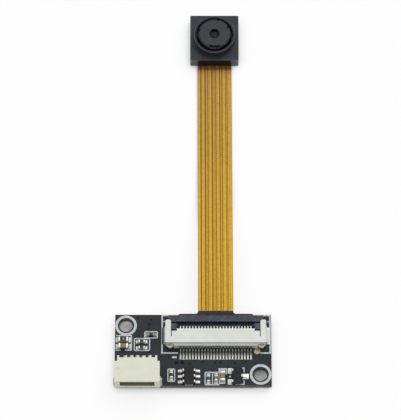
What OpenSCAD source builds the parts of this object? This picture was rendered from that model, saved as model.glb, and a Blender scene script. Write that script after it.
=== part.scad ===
// Small camera module: a controller board with a wire socket and a flip-latch
// flex socket, a long flex circuit, and a lens head at the flex's far end.
//
// Millimetres. X runs along the board, Y from the board towards the lens head,
// +Z up. The origin is the middle of the board, on its underside. The module
// lies on the controller chip under the board and on the lens head's base.

/* [Board] */
// Width of the board, side to side
board_w = 25.6; // [25.2:0.1:30]
// Depth of the board, front edge to back edge
board_d = 12.3; // [12.2:0.1:15]
// Thickness of the board
board_t = 1; // [0.8:0.1:1.6]
// Diameter of the two mounting holes
hole_d = 2.2; // [1.8:0.1:2.4]
// From each mounting hole's middle to the board's side edge
hole_side = 1.8; // [1.75:0.05:2]
// From each mounting hole's middle to the board's front or back edge
hole_end = 1.9; // [1.85:0.05:2]
// Thickness of the solder lands
land_t = 0.04; // [0.03:0.01:0.06]
// Thickness of the white legend ink
ink_t = 0.02; // [0.01:0.01:0.03]
// Line width of the flex socket's outline in the legend
ink_w = 0.25; // [0.15:0.01:0.3]
// Line width of the other outlines in the legend
ink_thin = 0.18; // [0.12:0.01:0.25]

/* [Flex socket] */
// Number of contacts
pin_count = 24; // [20:1:26]
// Distance from contact to contact
pin_pitch = 0.5; // [0.45:0.01:0.52]
// Thickness of a contact's sheet
pin_t = 0.2; // [0.14:0.01:0.22]
// From the board's right edge to the socket's right arm
socket_side = 0.88; // [0.85:0.01:1.2]
// From the board's back edge to the tips of the socket's arms
socket_edge = 1.6; // [1.55:0.05:1.8]
// Height of the housing above the board
socket_h = 2; // [1.95:0.01:2.3]
// Depth of the housing's block, back wall to front face
block_d = 2.37; // [2.3:0.01:2.5]
// Wall at each side of the throat that takes the flex
side_wall = 0.87; // [0.8:0.01:0.95]
// Gap between the block and each arm
arm_gap = 0.15; // [0.12:0.01:0.25]
// Width of each arm
arm_w = 0.9; // [0.75:0.01:0.95]
// How far the arms reach in front of the block
arm_reach = 1.55; // [1.5:0.01:1.6]
// Height of the flex's underside above the board
flex_rise = 0.75; // [0.72:0.01:0.78]

/* [Latch] */
// Front to back depth of the latch's grip bar
grip_d = 1.18; // [1:0.01:1.3]
// Radius of the round back of each rib
cam_r = 0.42; // [0.38:0.01:0.43]
// Radius of the pivot pins
pivot_r = 0.2; // [0.15:0.01:0.22]
// Radial play of a pivot pin in its hole
pivot_play = 0.05; // [0.02:0.01:0.06]
// Gap between the latch and what it moves past
latch_gap = 0.05; // [0.04:0.01:0.08]

/* [Wire socket] */
// Number of wires
wire_count = 5; // [4:1:5]
// Distance from wire to wire
wire_pitch = 1; // [0.9:0.01:1.05]
// Height of the housing above the board
wire_h = 2.9; // [2.7:0.05:3.1]
// Depth of the wide front of the housing
wire_front_d = 3.55; // [3.4:0.05:3.6]
// Depth of the narrow back of the housing
wire_back_d = 0.6; // [0.5:0.05:0.65]
// Height of the mouth
mouth_h = 1.85; // [1.6:0.05:1.9]
// Thickness of the wall under the mouth
mouth_sill = 0.75; // [0.6:0.05:0.8]
// Width of a pin
wire_pin_w = 0.3; // [0.2:0.01:0.35]
// How far the housing stands out past the board's front edge
wire_overhang = 0.35; // [0.1:0.05:0.45]

/* [Flex] */
// Width of the free strip
strip_w = 5.8; // [5:0.1:6]
// Thickness of the flex
flex_t = 0.15; // [0.1:0.01:0.18]
// Thickness of the black stiffener on the flex's end
stiffener_t = 0.15; // [0.1:0.01:0.15]
// Length of the strip, from the stiffener to the lens head
strip_l = 46.3; // [35:0.1:60]
// Share of the strip over which it comes down to the lens head's level
bend_share = 0.62; // [0.4:0.01:0.8]

/* [Lens head] */
// Width of the lens housing
head_w = 8.3; // [8.1:0.1:9.5]
// Depth of the lens housing, along the flex
head_d = 8.6; // [8.3:0.1:9.5]
// Height of the lens housing's square face above its base
head_h = 2.2; // [2.1:0.05:2.6]
// Sideways place of the lens head, from the flex socket's middle
head_shift = -0.1; // [-0.3:0.05:0.3]
// Outer radius of the round collar
collar_r = 3.53; // [3.45:0.01:3.7]
// Height of the collar above the square face
collar_h = 1.3; // [1:0.05:1.5]
// Radius of the collar's bore
collar_bore_r = 3.15; // [3.1:0.01:3.2]
// Radius of the lens barrel's front
barrel_r = 2.8; // [2.7:0.01:2.85]
// How far the lens barrel stands out of the collar
barrel_rise = 0.35; // [0.1:0.05:0.5]
// Width of the six-sided hole in the barrel's front
aperture_w = 1.42; // [1.2:0.02:1.6]
// Height of that hole, along the flex
aperture_d = 1.74; // [1.5:0.02:1.8]

/* [Underside] */
// Side of the controller chip
controller_w = 6; // [5:0.1:6.5]
// Thickness of the controller chip
controller_t = 0.85; // [0.8:0.01:0.95]

/* [Hidden] */
$fn = 48;
e = 0.01;

// ---------------------------------------------------------------- shared layout
stand_h = controller_t + land_t;     // the board's underside above the table
top_z = board_t;                     // the board's upper face
seat_z = board_t + land_t;           // upper face of the top lands
front_y = -board_d / 2;
back_y = board_d / 2;
left_x = -board_w / 2;
hole_dx = board_w - 2 * hole_side;
hole_dy = board_d - 2 * hole_end;
ring_in = hole_d / 2 + 0.24;         // white ring around each mounting hole
ring_out = min(hole_d / 2 + 0.67, hole_side - 0.02);

// Flex socket: v is measured from the housing's back wall towards the latch,
// h from the board's upper face.
flex_half = (pin_count + 1) * pin_pitch / 2;
throat_half = flex_half + 0.05;
roof_half = throat_half + 0.05;
block_half = throat_half + side_wall;
arm_in = block_half + arm_gap;
arm_out = arm_in + arm_w;
arm_l = block_d + arm_reach;
socket_x = board_w / 2 - socket_side - arm_out;
socket_y = back_y - socket_edge - arm_l;
step_back = 0.4;                     // the block's outer steps stand back from its front
ledge_d = 0.33;                      // ledge behind the back wall
ledge_h = 1.35;
tail_gap = 0.31;                     // width of the notch around a tail in that ledge
axis_v = block_d + 0.5;              // latch axis, in front of the block
axis_h = 1.55;
arm_tip_v = axis_v;                  // the contacts' upper arms end at the axis
pin_floor = 0.25;                    // underside of a contact in its slot
pin_arm_h = 1.45;                    // underside of a contact's upper arm
pin_arm_t = 0.3;
pin_play = 0.02;                     // play at each side of a contact in its slot
throat_v = 0.8;                      // end of the throat, where the flex stops
throat_play = 0.03;
pack_t = flex_t + stiffener_t;       // flex and stiffener together
post_v = 0.35;                       // back face of a contact's post
post_d = 0.4;
tail_t = 0.15;

// Latch: measured from its axis, y forward and z up, closed.
web_y = 0.1;
grip_y = 0.7;
grip_end = grip_y + grip_d;
latch_low = -0.45;
web_high = -0.15;
grip_high = 0.35;
ear_y = 1.2;
ear_w = 0.5;
block_back = -0.55;
block_high = 0.3;

// Wire socket: u is measured from its front face backwards.
wire_span = (wire_count - 1) * wire_pitch;
wire_w = wire_span + 3.3;
wire_back_w = wire_w - 0.8;
wire_mouth_w = wire_span + 1.6;
wire_side = 0.1;                     // from the board's left edge
wire_x = left_x + wire_side + wire_w / 2;
wire_y = front_y - wire_overhang;
wire_mouth_d = wire_front_d - 0.25;
wire_pin_h = mouth_sill + 0.8;       // underside of a pin in the mouth
wire_back_u = wire_front_d + wire_back_d;
post_w = 0.33;
post_out = 0.35;

// Flex
head_x = socket_x + head_shift;
flex_z = top_z + flex_rise;
flex_y0 = socket_y + throat_v + 0.03;
shoulder_y = back_y - 0.22;          // where the wide end stops
neck_y = shoulder_y + 0.51;          // where the stiffener ends
neck_r = 0.42;
head_y0 = neck_y + strip_l;
head_y = head_y0 + head_d / 2;
lean = -atan(head_shift / strip_l);  // turn of the strip, from the socket to the head

// Lens head: t is measured up from the table.
table_z = -stand_h;
base_t = 0.25;
pad_t = base_t + flex_t;             // seat of the housing, on the flex
plate_in = 0.15;                     // how far the flex under the head stands in from its sides
die_t = 0.3;
die_w = 5.6;                         // image sensor, and the pixels' area on it
die_d = 5.2;
pixel_w = 3.8;
pixel_d = 3;
cavity_t = pad_t + 0.55;
filter_t = 0.3;
filter_w = 4.8;
filter_play = 0.05;
shoulder_t = cavity_t + filter_t + 0.2;   // ledge that the barrel sits on
barrel_top = head_h + collar_h + barrel_rise;
thread_r = 2.9;
thread_play = 0.02;
barrel_bore_r = 2.2;
pupil_t = barrel_top - 0.45;         // underside of the barrel's front wall
lens_edge = 0.25;                    // edge thickness of a lens

// Chip sizes: length, width, height and length of each end cap
chip_small = [1, 0.5, 0.35, 0.22];
chip_small_cap = [1, 0.5, 0.5, 0.25];
chip_big = [1.6, 0.8, 0.45, 0.3];
chip_big_cap = [1.6, 0.8, 0.6, 0.35];
chip_land = 0.42;                    // how far a land stands out past a chip's end

// Outline lines of the flex socket's legend
line_l = socket_x - arm_out - 0.56;
line_r = socket_x + arm_out + 0.68;

// Parts in the row along the front edge: each one's middle lies at a share of the
// room between the wire socket's land and the ring at the right hole.
wire_land = 0.35;
front_l = wire_x + wire_w / 2 + wire_land;
front_r = board_w / 2 - hole_side - ring_out;
function front_at(share, y) = [front_l + share * (front_r - front_l), front_y + y];
sense_res_xy = front_at(0.105, 1.75);
regulator_xy = front_at(0.307, 1.52);
output_res_xy = front_at(0.529, 1.12);
filter_cap_xy = front_at(0.6155, 1.18);
output_cap_xy = front_at(0.69, 1.5);
transistor_xy = front_at(0.8575, 1.55);

// Parts at the left: two at the board's edge, and three between those and the
// flex socket's outline.
link_xy = [left_x + 1.35, back_y - 4.4];
input_cap_xy = [left_x + 1.37, back_y - 5.57];
link_r = link_xy[0] + 1.37;          // line at the right of those two
function left_at(share, y) = [link_r + share * (line_l - link_r), back_y - y];
rear_res_xy = left_at(0.332, 4.74);
front_res_xy = left_at(0.332, 5.82);
corner_res_xy = left_at(0.64, 3.52);
test_pad_xy = [socket_x + 6.76, socket_y - 0.82];
test_pad_r = 0.53;

// Leaded packages: body width, depth and height, lead pitch, reach and width
regulator_size = [1.6, 2.8, 1.1];
transistor_size = [1.3, 2.9, 1];
lead_pitch = 0.95;
lead_w = 0.4;
lead_t = 0.15;
lead_reach = 0.62;
lead_land = 0.5;

// ---------------------------------------------------------------- helpers
function pin_x(i) = (i - (pin_count - 1) / 2) * pin_pitch;
function wire_pin_x(i) = (i - (wire_count - 1) / 2) * wire_pitch;

// Extrudes a profile drawn in (y, z) by w along X, centred on x = 0.
module along_x(w) {
    translate([-w / 2, 0, 0]) rotate([90, 0, 90]) linear_extrude(w) children();
}

// Extrudes a profile drawn in (x, z) by d along Y, centred on y = 0.
module along_y(d) {
    translate([0, d / 2, 0]) rotate([90, 0, 0]) linear_extrude(d) children();
}

// Box centred in X and Y that stands on z = 0.
module block(size) {
    translate([-size[0] / 2, -size[1] / 2, 0]) cube(size);
}

// Rectangle with round corners, centred.
module round_rect(w, d, r) {
    square([w - 2 * r, d], center = true);
    square([w, d - 2 * r], center = true);
    for (sx = [-1, 1], sy = [-1, 1])
        translate([sx * (w / 2 - r), sy * (d / 2 - r)]) circle(r);
}

// ---------------------------------------------------------------- board
module board_holes() {
    for (s = [-1, 1])
        translate([s * hole_dx / 2, -s * hole_dy / 2]) children();
}

module circuit_board() {
    color([0.16, 0.17, 0.19])
    linear_extrude(board_t) difference() {
        square([board_w, board_d], center = true);
        board_holes() circle(hole_d / 2);
    }
}

// Outline of the given width and depth, drawn as one thin ink line.
module ink_box(centre, w, d) {
    translate(centre) difference() {
        round_rect(w + ink_thin, d + ink_thin, 0.25);
        square([w - ink_thin, d - ink_thin], center = true);
    }
}

// Straight ink line between two points that share an x or a y.
module ink_line(a, b, w = ink_thin) {
    translate([min(a[0], b[0]) - w / 2, min(a[1], b[1]) - w / 2])
        square([abs(a[0] - b[0]) + w, abs(a[1] - b[1]) + w]);
}

module legend_lines() {
    line_top = back_y - 0.13;
    line_low = socket_y - 1.17;
    // rings around the mounting holes
    board_holes() difference() {
        circle(ring_out);
        circle(ring_in);
    }
    // outline of the flex socket
    ink_line([line_l, line_low], [line_l, line_top], ink_w);
    ink_line([line_r, line_low], [line_r, line_top], ink_w);
    ink_line([line_l, line_top], [socket_x - flex_half + 0.4, line_top], ink_w);
    ink_line([socket_x + flex_half - 0.4, line_top], [line_r, line_top], ink_w);
    ink_line([line_l, line_low], [line_l + 2.45, line_low], ink_w);
    ink_line([line_r - 1.5, line_low], [line_r, line_low], ink_w);
    for (s = [[line_l, 0.45], [line_r, -0.35]])
        ink_line([s[0], line_top - 1.08], [s[0] + s[1], line_top - 1.08]);
    // dash beside the first contact
    translate([socket_x + pin_x(0) - 1, line_low - 0.74]) round_rect(0.8, 0.34, 0.16);
    // outlines of the chip parts
    ink_box(corner_res_xy, 2.08, 1.09);
    ink_box([rear_res_xy[0] + 0.05, (rear_res_xy[1] + front_res_xy[1]) / 2 + 0.07], 2.47, 2.06);
    ink_box([sense_res_xy[0], sense_res_xy[1] + 0.02], 1.1, 2.11);
    // open outline of the link and the input capacitor, which share a side
    low = input_cap_xy[1] - 0.62;
    ink_line([link_r, low], [link_r, link_xy[1] + 0.74]);
    ink_line([left_x + ink_w, link_xy[1] + 0.74], [link_r, link_xy[1] + 0.74]);
    ink_line([left_x + ink_w, low], [left_x + 0.85, low]);
    ink_line([left_x + 1.75, low], [link_r, low]);
    // two outlines side by side, the second one run on around the output capacitor
    row_low = front_y + 0.12;
    row_top = output_res_xy[1] + 1.15;
    row_mid = (output_res_xy[0] + filter_cap_xy[0]) / 2 + 0.04;
    row_l = 2 * output_res_xy[0] - row_mid + 0.12;
    row_r = filter_cap_xy[0] + 0.51;
    cap_top = output_cap_xy[1] + 1.38;
    ink_box([(row_l + row_mid) / 2, (row_low + row_top) / 2], row_mid - row_l, row_top - row_low);
    ink_box([(row_mid + row_r) / 2, (row_low + row_top) / 2], row_r - row_mid, row_top - row_low);
    ink_line([row_r, row_top - 0.3], [row_r, cap_top]);
    ink_line([row_r, cap_top], [output_cap_xy[0] + 0.62, cap_top]);
    ink_line([output_cap_xy[0] + 0.62, cap_top - 0.9], [output_cap_xy[0] + 0.62, cap_top]);
    // bracket around the front end of the regulator
    ink_line([regulator_xy[0] - 0.6, row_low - 0.045], [regulator_xy[0] + 0.6, row_low - 0.045], 0.1);
    for (s = [-0.6, 0.6])
        ink_line([regulator_xy[0] + s, row_low - 0.045], [regulator_xy[0] + s, row_low + 0.17], 0.1);
    // corner marks of the transistor
    mark_x = transistor_xy[0] + 1.1;
    ink_line([mark_x - 0.2, transistor_xy[1] + 1.45], [mark_x, transistor_xy[1] + 1.45]);
    ink_line([mark_x, transistor_xy[1] + 0.8], [mark_x, transistor_xy[1] + 1.45]);
    ink_line([mark_x - 1.3, transistor_xy[1] - 1.36], [mark_x, transistor_xy[1] - 1.36]);
    ink_line([mark_x, transistor_xy[1] - 1.36], [mark_x, transistor_xy[1] - 0.77]);
}

module legend_ink() {
    color([0.86, 0.88, 0.88])
    translate([0, 0, top_z]) linear_extrude(ink_t) difference() {
        legend_lines();
        // the ink stops at bare metal
        land_plan();
        translate(test_pad_xy) circle(test_pad_r);
    }
}

module gold_test_pad() {
    color([0.66, 0.58, 0.34])
    translate([test_pad_xy[0], test_pad_xy[1], top_z]) cylinder(h = land_t, r = test_pad_r);
}

// Two lands under a chip part, whose long side runs along X, or along Y if turned.
module chip_lands(xy, size, turned = false) {
    land_l = size[3] + chip_land;
    translate(xy) rotate(turned ? 90 : 0) for (s = [-1, 1])
        translate([s * (size[0] / 2 + chip_land - land_l / 2), 0])
            square([land_l, size[1] + 0.06], center = true);
}

// Land under each lead of a leaded package. leads lists [side, row] pairs.
module lead_lands(xy, size, leads, land_w, land_l) {
    for (lead = leads)
        translate([xy[0] + lead[0] * (size[0] / 2 + 0.2 + land_l / 2), xy[1] + lead[1] * lead_pitch])
            square([land_l, land_w], center = true);
}

regulator_leads_at = [for (s = [-1, 1], r = [-1, 0, 1]) [s, r]];
transistor_leads_at = [[-1, -1], [-1, 1], [1, 0]];

module land_plan() {
    // flex socket: one land for each contact and one for each anchor
    for (i = [0 : pin_count - 1])
        translate([socket_x + pin_x(i) - 0.15, socket_y - 2.3]) square([0.3, 1]);
    for (s = [-1, 1])
        translate([socket_x + s * (arm_out + 0.3), socket_y + 1.8]) square([0.6, 2.9], center = true);
    // wire socket
    for (i = [0 : wire_count - 1])
        translate([wire_x + wire_pin_x(i) - 0.31, wire_y + wire_back_u + 0.1]) square([0.62, 1.2]);
    translate([wire_x + wire_w / 2, front_y + 0.03]) square([wire_land, 1.25]);
    translate([left_x, front_y + 0.03]) square([wire_side, 1.25]);
    // leaded packages and chip parts
    lead_lands(regulator_xy, regulator_size, regulator_leads_at, lead_land, 0.8);
    lead_lands(transistor_xy, transistor_size, [[-1, -1], [-1, 1]], 0.9, 0.7);
    lead_lands(transistor_xy, transistor_size, [[1, 0]], 0.9, 1);
    chip_lands(link_xy, chip_big);
    chip_lands(input_cap_xy, chip_big_cap);
    chip_lands(rear_res_xy, chip_small);
    chip_lands(front_res_xy, chip_small);
    chip_lands(corner_res_xy, chip_small);
    chip_lands(sense_res_xy, chip_small, true);
    chip_lands(output_res_xy, chip_small, true);
    chip_lands(filter_cap_xy, chip_small_cap, true);
    chip_lands(output_cap_xy, chip_big_cap, true);
}

module top_solder_lands() {
    color([0.80, 0.80, 0.78])
    translate([0, 0, top_z]) linear_extrude(land_t) land_plan();
}

// ---------------------------------------------------------------- flex socket
// Slot that holds one contact, drawn in (v, h).
module contact_slot() {
    // way for the tail through the back wall, and for the lower beam
    translate([-ledge_d - e, pin_floor]) square([ledge_d + post_v + e, 0.5]);
    translate([post_v - e, pin_floor]) square([block_d - post_v, flex_rise - pin_floor + e]);
    // well for the post
    translate([post_v - 0.05, pin_floor]) square([post_d + 0.1, pin_arm_h + pin_arm_t + 0.05 - pin_floor]);
    // way for the upper arm, out through the front face
    translate([post_v, pin_arm_h - 0.05]) square([block_d, pin_arm_t + 0.1]);
}

module socket_arm_plan() {
    tip_r = 0.25;
    translate([arm_in, 0]) square([arm_w, arm_l - tip_r]);
    translate([arm_in + tip_r, 0]) square([arm_w - 2 * tip_r, arm_l]);
    for (x = [arm_in + tip_r, arm_out - tip_r])
        translate([x, arm_l - tip_r]) circle(tip_r);
}

module socket_body() {
    // block with its stepped front, tied to the arms behind the gaps
    linear_extrude(socket_h) {
        translate([-roof_half, 0]) square([2 * roof_half, block_d]);
        translate([-block_half, 0]) square([2 * block_half, block_d - step_back]);
        translate([-arm_in - e, 0]) square([2 * arm_in + 2 * e, 1]);
        for (s = [0, 1]) mirror([s, 0]) socket_arm_plan();
    }
    // ledge across the back
    translate([-block_half + 0.3, -ledge_d, 0]) cube([2 * block_half - 0.6, ledge_d + e, ledge_h]);
    // floor under the flex, with a lead-in at its front, and low floor out to the arms
    along_x(2 * throat_half) polygon([
        [0, 0], [arm_l - 0.35, 0], [arm_l - 0.35, flex_rise - 0.3],
        [arm_l - 0.6, flex_rise - throat_play], [0, flex_rise - throat_play]
    ]);
    translate([-arm_in - e, 0, 0]) cube([2 * arm_in + 2 * e, arm_l - 0.6, 0.45]);
    // half-round lugs at the back corners, clear of the board
    for (s = [-1, 1]) translate([s * (arm_in + 0.13), 0, 0]) difference() {
        translate([0, 0, 0.5]) cylinder(h = 0.6, r = 0.55);
        translate([-0.6, e, 0]) cube([1.2, 1, 2]);
        translate([-0.38, -0.3, 0.8]) cube([0.76, 0.4, 1]);
    }
}

module flex_socket_housing() {
    color([0.87, 0.88, 0.85])
    translate([socket_x, socket_y, top_z]) difference() {
        socket_body();
        // throat that takes the flex
        translate([-throat_half, throat_v, flex_rise - throat_play])
            cube([2 * throat_half, arm_l, pack_t + 2 * throat_play]);
        for (i = [0 : pin_count - 1]) translate([pin_x(i), 0, 0]) {
            along_x(pin_t + 2 * pin_play) contact_slot();
            // open notch in the ledge, around the tail
            translate([-tail_gap / 2, -ledge_d - e, -e]) cube([tail_gap, ledge_d + 2 * e, 0.95]);
        }
        // blind holes for the latch's pivot pins
        for (s = [-1, 1]) translate([s * (arm_in - e), axis_v, axis_h])
            rotate([0, s * 90, 0]) cylinder(h = 0.36, r = pivot_r + pivot_play);
    }
}

// One stamped contact, drawn in (v, h): foot, tail, post, sprung lower beam
// with its bump under the flex, and upper arm that the latch hooks on.
module contact_profile() {
    foot = -1.8;
    polygon([
        [foot, land_t], [foot, land_t + tail_t], [-1.25, land_t + tail_t],
        [-0.95, pin_floor + tail_t], [post_v, pin_floor + tail_t],
        [post_v, pin_arm_h + pin_arm_t], [arm_tip_v, pin_arm_h + pin_arm_t],
        [arm_tip_v, pin_arm_h + 0.05], [arm_tip_v - 0.2, pin_arm_h],
        [post_v + post_d, pin_arm_h], [post_v + post_d, pin_floor + 0.2],
        [block_d - 0.6, pin_floor + 0.2], [block_d - 0.42, flex_rise],
        [block_d - 0.25, flex_rise], [block_d - 0.1, pin_floor + 0.1],
        [block_d - 0.2, pin_floor], [-1.02, pin_floor], [-1.32, land_t]
    ]);
}

module flex_socket_contacts() {
    color([0.82, 0.82, 0.80])
    translate([socket_x, socket_y, top_z])
    for (i = [0 : pin_count - 1])
        translate([pin_x(i), 0, 0]) along_x(pin_t) contact_profile();
}

module flex_socket_anchors() {
    color([0.82, 0.83, 0.82])
    translate([socket_x, socket_y, top_z])
    for (s = [0, 1]) mirror([s, 0, 0]) {
        // plate against the arm's side, and foot on its land
        translate([arm_out, 0.45, land_t]) cube([tail_t, 2.7, 0.85]);
        translate([arm_out + tail_t - e, 0.65, land_t]) cube([0.3, 2.3, tail_t]);
    }
}

// Cross-section of the latch in front of the contacts, from its axis.
module latch_bar_profile() {
    polygon([
        [web_y, latch_low], [grip_end - 0.08, latch_low], [grip_end, latch_low + 0.08],
        [grip_end, grip_high - 0.15], [grip_end - 0.15, grip_high],
        [grip_y + 0.05, grip_high], [grip_y, grip_high - 0.05],
        [grip_y, web_high], [web_y, web_high]
    ]);
}

// Cross-section of a rib: a round back on the axis, run out into the web.
module latch_rib_profile() {
    difference() {
        union() {
            circle(cam_r);
            translate([0, latch_low + 0.04]) square([grip_y, web_high - latch_low - 0.04]);
        }
        translate([web_y + 0.2, web_high]) square([1, 1]);
    }
}

module flex_socket_latch() {
    rib_w = pin_pitch - pin_t - 2 * latch_gap;
    cheek_in = roof_half + latch_gap;
    cheek_out = arm_in - latch_gap;
    end_rib_in = pin_x(pin_count - 1) + pin_t / 2 + latch_gap;
    color([0.20, 0.22, 0.26])
    translate([socket_x, socket_y + axis_v, top_z + axis_h]) {
        along_x(2 * cheek_out) latch_bar_profile();
        for (i = [0 : pin_count - 2])
            translate([pin_x(i) + pin_pitch / 2, 0, 0]) along_x(rib_w) latch_rib_profile();
        for (s = [0, 1]) mirror([s, 0, 0]) {
            // end rib, cheek, pivot pin and the ear in front of the arm
            translate([(end_rib_in + cheek_in) / 2, 0, 0]) along_x(cheek_in - end_rib_in + e)
                latch_rib_profile();
            translate([cheek_in, block_back, latch_low])
                cube([cheek_out - cheek_in, grip_y - 0.25 - block_back, block_high - latch_low]);
            translate([cheek_out - e, 0, 0]) rotate([0, 90, 0]) cylinder(h = 0.33, r = pivot_r);
            translate([cheek_out + ear_w / 2, 0, 0]) along_x(ear_w + e) intersection() {
                latch_bar_profile();
                translate([ear_y, -1]) square([2, 2]);
            }
        }
    }
}

// ---------------------------------------------------------------- wire socket
module wire_socket_housing() {
    color([0.87, 0.87, 0.80])
    translate([wire_x, wire_y, top_z]) difference() {
        linear_extrude(wire_h) {
            translate([-wire_w / 2, 0]) square([wire_w, wire_front_d]);
            translate([-wire_back_w / 2, 0]) square([wire_back_w, wire_back_u]);
            for (s = [-1, 1]) translate([s * (wire_back_w - post_w) / 2 - post_w / 2, 0])
                square([post_w, wire_back_u + post_out]);
        }
        // mouth for the plug
        translate([-wire_mouth_w / 2, -e, mouth_sill]) cube([wire_mouth_w, wire_mouth_d + e, mouth_h]);
        // one slot for each pin through the back wall, open below for its leg
        for (i = [0 : wire_count - 1])
            translate([wire_pin_x(i) - wire_pin_w / 2 - pin_play, wire_mouth_d - e, wire_pin_h])
                cube([wire_pin_w + 2 * pin_play, wire_back_u, 0.3]);
        // round marks of the mould's pins in the top
        for (s = [-1, 1]) translate([s * (wire_w / 2 - 0.6), 2.2, wire_h - 0.05]) cylinder(h = 1, r = 0.15);
    }
}

module wire_socket_contacts() {
    leg_u = wire_back_u + 0.02;
    color([0.80, 0.79, 0.76])
    translate([wire_x, wire_y, top_z])
    for (i = [0 : wire_count - 1]) translate([wire_pin_x(i), 0, 0]) along_x(wire_pin_w) polygon([
        [1.1, wire_pin_h], [1.1, wire_pin_h + 0.2], [1.25, wire_pin_h + 0.3],
        [leg_u + 0.15, wire_pin_h + 0.3], [leg_u + 0.25, wire_pin_h + 0.2],
        [leg_u + 0.25, land_t + 0.25], [leg_u + 0.35, land_t + 0.15], [leg_u + 1.05, land_t + 0.15],
        [leg_u + 1.05, land_t], [leg_u + 0.2, land_t], [leg_u + 0.05, land_t + 0.15],
        [leg_u + 0.05, wire_pin_h]
    ]);
}

module wire_socket_anchors() {
    color([0.80, 0.80, 0.77])
    translate([wire_x, wire_y, top_z])
    for (s = [0, 1]) mirror([s, 0, 0]) {
        translate([wire_w / 2, 0.1, land_t]) cube([tail_t, 1.5, 0.95]);
        translate([wire_w / 2 + tail_t - e, wire_overhang + 0.05, land_t]) cube([0.15 + e, 1.15, tail_t]);
    }
}

// ---------------------------------------------------------------- leaded packages
// Moulded body whose four sides slope in above and below the leads.
module moulded_body(size) {
    draft = 0.08;
    mid = size[2] * 0.5;
    intersection() {
        along_y(size[1]) polygon([
            [-size[0] / 2 + draft, 0], [size[0] / 2 - draft, 0], [size[0] / 2, mid - 0.1], [size[0] / 2, mid + 0.1],
            [size[0] / 2 - draft, size[2]], [-size[0] / 2 + draft, size[2]],
            [-size[0] / 2, mid + 0.1], [-size[0] / 2, mid - 0.1]
        ]);
        along_x(size[0]) polygon([
            [-size[1] / 2 + draft, 0], [size[1] / 2 - draft, 0], [size[1] / 2, mid], [size[1] / 2 - draft, size[2]],
            [-size[1] / 2 + draft, size[2]], [-size[1] / 2, mid]
        ]);
    }
}

// Gull-wing lead that leaves the body's side at half its height, along +X.
module gull_wing(size) {
    x0 = size[0] / 2;
    z1 = size[2] * 0.5 + lead_t / 2;
    z0 = size[2] * 0.5 - lead_t / 2;
    along_y(lead_w) polygon([
        [x0, z0], [x0, z1], [x0 + 0.22, z1], [x0 + 0.34, lead_t], [x0 + lead_reach, lead_t],
        [x0 + lead_reach, 0], [x0 + 0.22, 0], [x0 + 0.12, z0]
    ]);
}

module package_body(xy, size) {
    translate([xy[0], xy[1], seat_z]) translate([0, 0, 0.02]) moulded_body([size[0], size[1], size[2] - 0.02]);
}

module package_leads(xy, size, leads) {
    translate([xy[0], xy[1], seat_z]) for (lead = leads)
        translate([0, lead[1] * lead_pitch, 0]) mirror([lead[0] < 0 ? 1 : 0, 0, 0]) gull_wing(size);
}

module regulator_body() {
    color([0.15, 0.15, 0.16]) package_body(regulator_xy, regulator_size);
}

module regulator_leads() {
    color([0.82, 0.82, 0.80]) package_leads(regulator_xy, regulator_size, regulator_leads_at);
}

module transistor_body() {
    color([0.15, 0.15, 0.16]) package_body(transistor_xy, transistor_size);
}

module transistor_leads() {
    color([0.82, 0.82, 0.80]) package_leads(transistor_xy, transistor_size, transistor_leads_at);
}

// ---------------------------------------------------------------- chip parts
// Ceramic body with a metal cap over each end, that stands on z = 0.
module chip(size) {
    cap = 0.02;
    translate([0, 0, cap]) block([size[0] - 2 * cap, size[1] - 2 * cap, size[2] - 2 * cap]);
    for (s = [-1, 1]) translate([s * (size[0] - size[3]) / 2, 0, 0]) block([size[3], size[1], size[2]]);
}

module chip_at(xy, size, turned = false) {
    translate([xy[0], xy[1], seat_z]) rotate(turned ? 90 : 0) chip(size);
}

module zero_ohm_link() { color([0.14, 0.14, 0.15]) chip_at(link_xy, chip_big); }
module input_capacitor() { color([0.60, 0.54, 0.42]) chip_at(input_cap_xy, chip_big_cap); }
module rear_resistor() { color([0.14, 0.14, 0.15]) chip_at(rear_res_xy, chip_small); }
module front_resistor() { color([0.14, 0.14, 0.15]) chip_at(front_res_xy, chip_small); }
module corner_resistor() { color([0.14, 0.14, 0.15]) chip_at(corner_res_xy, chip_small); }
module sense_resistor() { color([0.14, 0.14, 0.15]) chip_at(sense_res_xy, chip_small, true); }
module output_resistor() { color([0.14, 0.14, 0.15]) chip_at(output_res_xy, chip_small, true); }
module filter_capacitor() { color([0.62, 0.50, 0.44]) chip_at(filter_cap_xy, chip_small_cap, true); }
module output_capacitor() { color([0.60, 0.54, 0.42]) chip_at(output_cap_xy, chip_big_cap, true); }

// ---------------------------------------------------------------- underside
controller_xy = [1.6, -0.6];
memory_xy = [-4.2, -1.6];
crystal_xy = [-4.4, 2.6];
memory_size = [3, 2, 0.55];
crystal_size = [3.2, 2.5, 0.7];
controller_pins = 10;                // on each side
controller_pin_pitch = 0.5;
side_caps = [
    [5.9, 1.6, 90], [5.9, -2.8, 90], [-0.9, 4.3, 0], [2.2, 4.3, 0], [-7.6, 1.9, 90], [-7.6, -1.6, 90]
];

// Puts a part under the board, hanging down from its land.
module under_board(xy) {
    translate([xy[0], xy[1], 0]) mirror([0, 0, 1]) children();
}

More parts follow.
